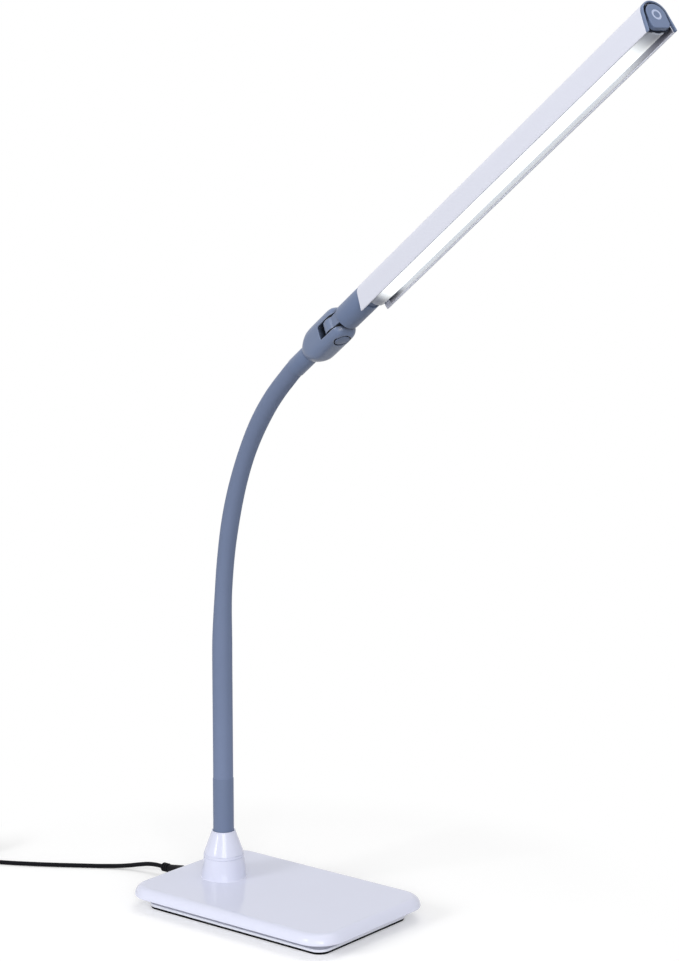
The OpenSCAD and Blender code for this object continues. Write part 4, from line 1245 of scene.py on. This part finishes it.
# %% Turn the stem and the tube
STEM_R = 9.7 * MM
STEM_BORE_R = 7.65 * MM
STEM_SEAT_R = 8.7 * MM
STEM_SEAT = HOOD_START - SEAT_GAP
STEM_END = TUBE_START - 0.15 * MM
STEM_ROUND = 0.6 * MM
TUBE_R = 8.5 * MM
TUBE_DROP = 3.3 * MM
TUBE_BORE_R = TUBE_R - 1.2 * MM
TUBE_END = HOOD_END - 1.8 * MM
TUBE_ROUND = 0.3 * MM
on_tube = on_bar @ Matrix.Translation((TUBE_DROP, 0, 0))
stem_outline = [(STEM_BORE_R, STEM_START), (STEM_R, STEM_START), (STEM_R, STEM_SEAT),
                (STEM_SEAT_R, STEM_SEAT), (STEM_SEAT_R, STEM_END), (STEM_BORE_R, STEM_END)]
stem = add_piece("bar_stem", turned_tube(stem_outline, STEM_ROUND), slate_plastic, "head", ["head_stem"],
                 on_bar)
tube_outline = [(TUBE_BORE_R, TUBE_START), (TUBE_R, TUBE_START), (TUBE_R, TUBE_END), (TUBE_BORE_R, TUBE_END)]
tube = add_piece("opal_tube", turned_tube(tube_outline, TUBE_ROUND), opal_tube, "head", ["light_tube"],
                 on_tube)
show("stem and tube", stem, tube)

# %% [markdown]
# ## The end of the bar
# At the far end a blue grey trim follows the hood's outline, so it is the same channel as the hood with a
# wall of its own. A dark slate plug fills the tube's end, where no light chips are. A push button with a ring
# mark fills the trim, before a dark plate. The plug and the plate are near black, partly their own dark
# plastic and partly painted shade for the deep inside of the bar's end. The button is round above and flat at
# its foot, so its outline is a soft minimum of both. The ring mark is a true inlay: a groove is sunk in the
# button's face, and a pale ring lies in it.

# %% Close the bar with the trim and the button
PLUG_R = TUBE_BORE_R - SEAT_GAP
PLUG_START = HOOD_END - 16 * MM
PLUG_ROUND = 0.2 * MM
TRIM_END = HOOD_END + 2.5 * MM
TRIM_WALL = 1.25 * MM
TRIM_EASE = (0.2 * MM, 0.5 * MM)
BACK_R = 8.6 * MM
BACK_FOOT = 10.2 * MM
BACK_CORNER = 12
BACK_HEIGHTS = (TUBE_END + 0.1 * MM, TUBE_END + 0.3 * MM)
BUTTON_R = 7.7 * MM
BUTTON_FOOT = 9.4 * MM
BUTTON_CORNER = 5.5
BUTTON_DROP = 0.4 * MM
BUTTON_FACE = TRIM_END + 0.3 * MM
BUTTON_BACK = BUTTON_FACE - 3.1 * MM
BUTTON_EASE = 0.6 * MM
BUTTON_STEPS = 5
LEAST_SINE = 0.01
MARK_IN, MARK_OUT = 2.2 * MM, 3.65 * MM
MARK_FLOOR = BUTTON_FACE - 0.4 * MM
MARK_ROUND = 0.1 * MM
on_button = on_bar @ Matrix.Translation((BUTTON_DROP, 0, 0))


def arch_ring(radius, foot, inset, z, corner_power):
    """An outline that is round above, straight down the sides and flat at its foot, drawn in by an inset."""
    ring = []
    for a in full_turn(RING_POINTS):
        r = radius
        if math.cos(a) > 0:
            r = soft_min(radius / max(abs(math.sin(a)), LEAST_SINE), foot / math.cos(a), corner_power)
        ring.append(((r - inset) * math.cos(a), (r - inset) * math.sin(a), z))
    return ring


def round_ring(radius, z):
    """A circle about the bar's middle with as many points as the arch."""
    return [(radius * math.cos(a), radius * math.sin(a), z) for a in full_turn(RING_POINTS)]


trim = add_piece("end_arch",
                 channel(hood_path(0), hood_path(TRIM_WALL), HOOD_END + SEAT_GAP, TRIM_END, *TRIM_EASE),
                 slate_plastic, "head", ["end_trim"], on_bar)
plug_outline = [(0, PLUG_START), (PLUG_R, PLUG_START), (PLUG_R, TUBE_END), (0, TUBE_END)]
# The plug and the plate take the near black slate that also paints the shade in the bar's end.
end_plug = add_piece("end_plug", turned_rod(plug_outline, PLUG_ROUND), painted_shade_slate, "head",
                     matrix=on_tube)
back_rings = [arch_ring(BACK_R, BACK_FOOT, 0, z, BACK_CORNER) for z in BACK_HEIGHTS]
back_plate = add_piece("switch_plate", loft(back_rings), painted_shade_slate, "head",
                       matrix=on_bar)
button_rings = [arch_ring(BUTTON_R, BUTTON_FOOT, 0, BUTTON_BACK, BUTTON_CORNER)]
button_rings += [arch_ring(BUTTON_R, BUTTON_FOOT, BUTTON_EASE * (1 - c), BUTTON_FACE + BUTTON_EASE * (s - 1),
                           BUTTON_CORNER) for c, s in quarter(BUTTON_STEPS)]
button_rings += [round_ring(MARK_OUT, BUTTON_FACE), round_ring(MARK_OUT, MARK_FLOOR),
                 round_ring(MARK_IN, MARK_FLOOR), round_ring(MARK_IN, BUTTON_FACE)]
button = add_piece("push_button", loft(button_rings), slate_plastic, "button", ["power_button"],
                   on_button)
even_normals(button)
inlay_in = MARK_IN + SEAT_GAP
inlay_out = MARK_OUT - SEAT_GAP
mark_outline = [(inlay_in, MARK_FLOOR), (inlay_out, MARK_FLOOR), (inlay_out, BUTTON_FACE),
                (inlay_in, BUTTON_FACE)]
mark = add_piece("ring_mark", turned_tube(mark_outline, MARK_ROUND), pale_inlay, "button", ["button_ring"],
                 on_button)
show("end of the bar", trim, end_plug, back_plate, button, mark)

# %% [markdown]
# ## Finishes for the parts that stay
# The plug, the adapter, the inlet and everything inside keep the shape they have in the frame. They are
# small or hidden, so modelling them again would show nothing new. They only need the right finish, and
# smooth shading where they are round.

# %% Give the remaining parts their finish
KEPT_SHARP = math.radians(32)
KEPT = {
    black_plastic: ["dc_jack", "dc_plug", "tact_switch", "cord_tie", "adapter_relief", "adapter_case"],
    nickel: ["plug_barrel", "adapter_blades"],
    steel: ["base_screws", "neck_stud", "neck_nut", "pivot_bolt", "pivot_nut", "swivel_screw"]
           + [f"neck_core_{k + 1}" for k in range(len(neck_joints))],
    cast_iron: ["ballast"],
    nylon: ["friction_washers"],
    drawn_aluminium: ["heat_sink"],
    white_board: ["led_board"],
    phosphor: ["leds"],
    green_board: ["switch_board"],
}
for finish, names in KEPT.items():
    for name in names:
        mesh = nodes[name].data
        mesh.materials.clear()
        mesh.materials.append(finish)
        mesh.shade_smooth()
        mesh.set_sharp_from_angle(angle=KEPT_SHARP)
print("parts kept from the frame:", sum(len(names) for names in KEPT.values()))

# %% [markdown]
# ## The floor and the world
# The lamp stands on a plain white sweep. The floor is a matte white sheet that also glows a little for
# the camera, so that it reads as white while it still takes the lamp's shadow. Away from the lamp the
# sheet turns into plain white, like the world behind it, so that no horizon shows. The world is white
# where it is seen or mirrored, and dimmer as a light: more light on the lamp would also give a white
# floor, but it would bleach the lamp.

# %% Lay the floor and set the world
WHITE = (1, 1, 1, 1)
FLOOR_HALF = 6.0
FLOOR_GLOW = 0.175
FLOOR_SHADE = 0.9
FLOOR_ROUGH = 0.9
SHADOW_NEAR, SHADOW_FAR = 0.23, 0.33
AMBIENT = 0.53


def seen_rays(tree):
    """1 for rays from the camera or by way of gloss or glass, and 0 for light that scatters."""
    path = add(tree, "ShaderNodeLightPath")
    seen = maths(tree, "MAXIMUM", path.outputs["Is Camera Ray"], path.outputs["Is Glossy Ray"])
    return maths(tree, "MAXIMUM", seen, path.outputs["Is Transmission Ray"])


def white_floor():
    """Matte white near the lamp that turns into a plain white glow away from it."""
    material, tree, shader = new_material("floor_white")
    shader.inputs["Roughness"].default_value = FLOOR_ROUGH
    shader.inputs["Specular IOR Level"].default_value = 0.0
    shader.inputs["Emission Color"].default_value = WHITE
    distance = add(tree, "ShaderNodeVectorMath", operation="LENGTH")
    tree.links.new(add(tree, "ShaderNodeTexCoord").outputs["Object"], distance.inputs[0])
    away = add(tree, "ShaderNodeMapRange", interpolation_type="SMOOTHSTEP", From_Min=SHADOW_NEAR,
               From_Max=SHADOW_FAR)
    tree.links.new(distance.outputs["Value"], away.inputs["Value"])
    shade = spread(tree, away.outputs["Result"], FLOOR_SHADE, 0.0)
    glow = spread(tree, away.outputs["Result"], FLOOR_GLOW, 1.0)
    tree.links.new(shade, shader.inputs["Base Color"])
    tree.links.new(maths(tree, "MULTIPLY", seen_rays(tree), glow), shader.inputs["Emission Strength"])
    return material


floor_points = [(-FLOOR_HALF, -FLOOR_HALF, 0), (FLOOR_HALF, -FLOOR_HALF, 0), (FLOOR_HALF, FLOOR_HALF, 0),
                (-FLOOR_HALF, FLOOR_HALF, 0)]
floor = add_piece("floor", (floor_points, [(0, 1, 2, 3)]), white_floor())
world = bpy.data.worlds.new("studio")
world.use_nodes = True
scene.world = world
background = world.node_tree.nodes["Background"]
background.inputs["Color"].default_value = WHITE
brightness = spread(world.node_tree, seen_rays(world.node_tree), AMBIENT, 1.0)
world.node_tree.links.new(brightness, background.inputs["Strength"])
show("stage", floor)

# %% [markdown]
# ## The lights
# Studio pictures of plastic are lit by large soft boxes, because a small lamp would put hard glints on
# it. A key light from the lamp's right and back shapes the neck, a broader fill from the front keeps
# the shadows open, and a weak top light gives the base its sheen. Square area lights do this with few
# settings.

# %% Hang the soft boxes
BAR_SIDE = (0.05, 0, 0.3)
BASE_SIDE = (0.05, 0, 0.2)


def soft_box(name, place, aim_at, size, power):
    """A large square lamp aimed at a point."""
    light = bpy.data.lights.new(name, "AREA")
    light.shape = "SQUARE"
    light.size = size
    light.energy = power
    lamp = bpy.data.objects.new(name, light)
    scene.collection.objects.link(lamp)
    lamp.location = place
    lamp.rotation_euler = (Vector(place) - Vector(aim_at)).to_track_quat("Z", "Y").to_euler()


soft_box("key_light", place=(-0.7, -2.1, 1.1), aim_at=BAR_SIDE, size=0.8, power=18)
soft_box("fill_light", place=(1.6, -1.7, 0.8), aim_at=BAR_SIDE, size=1.2, power=25)
soft_box("top_light", place=(0.2, 0.4, 2.4), aim_at=BASE_SIDE, size=1.6, power=11)
print("lights:", [light.name for light in bpy.data.lights])
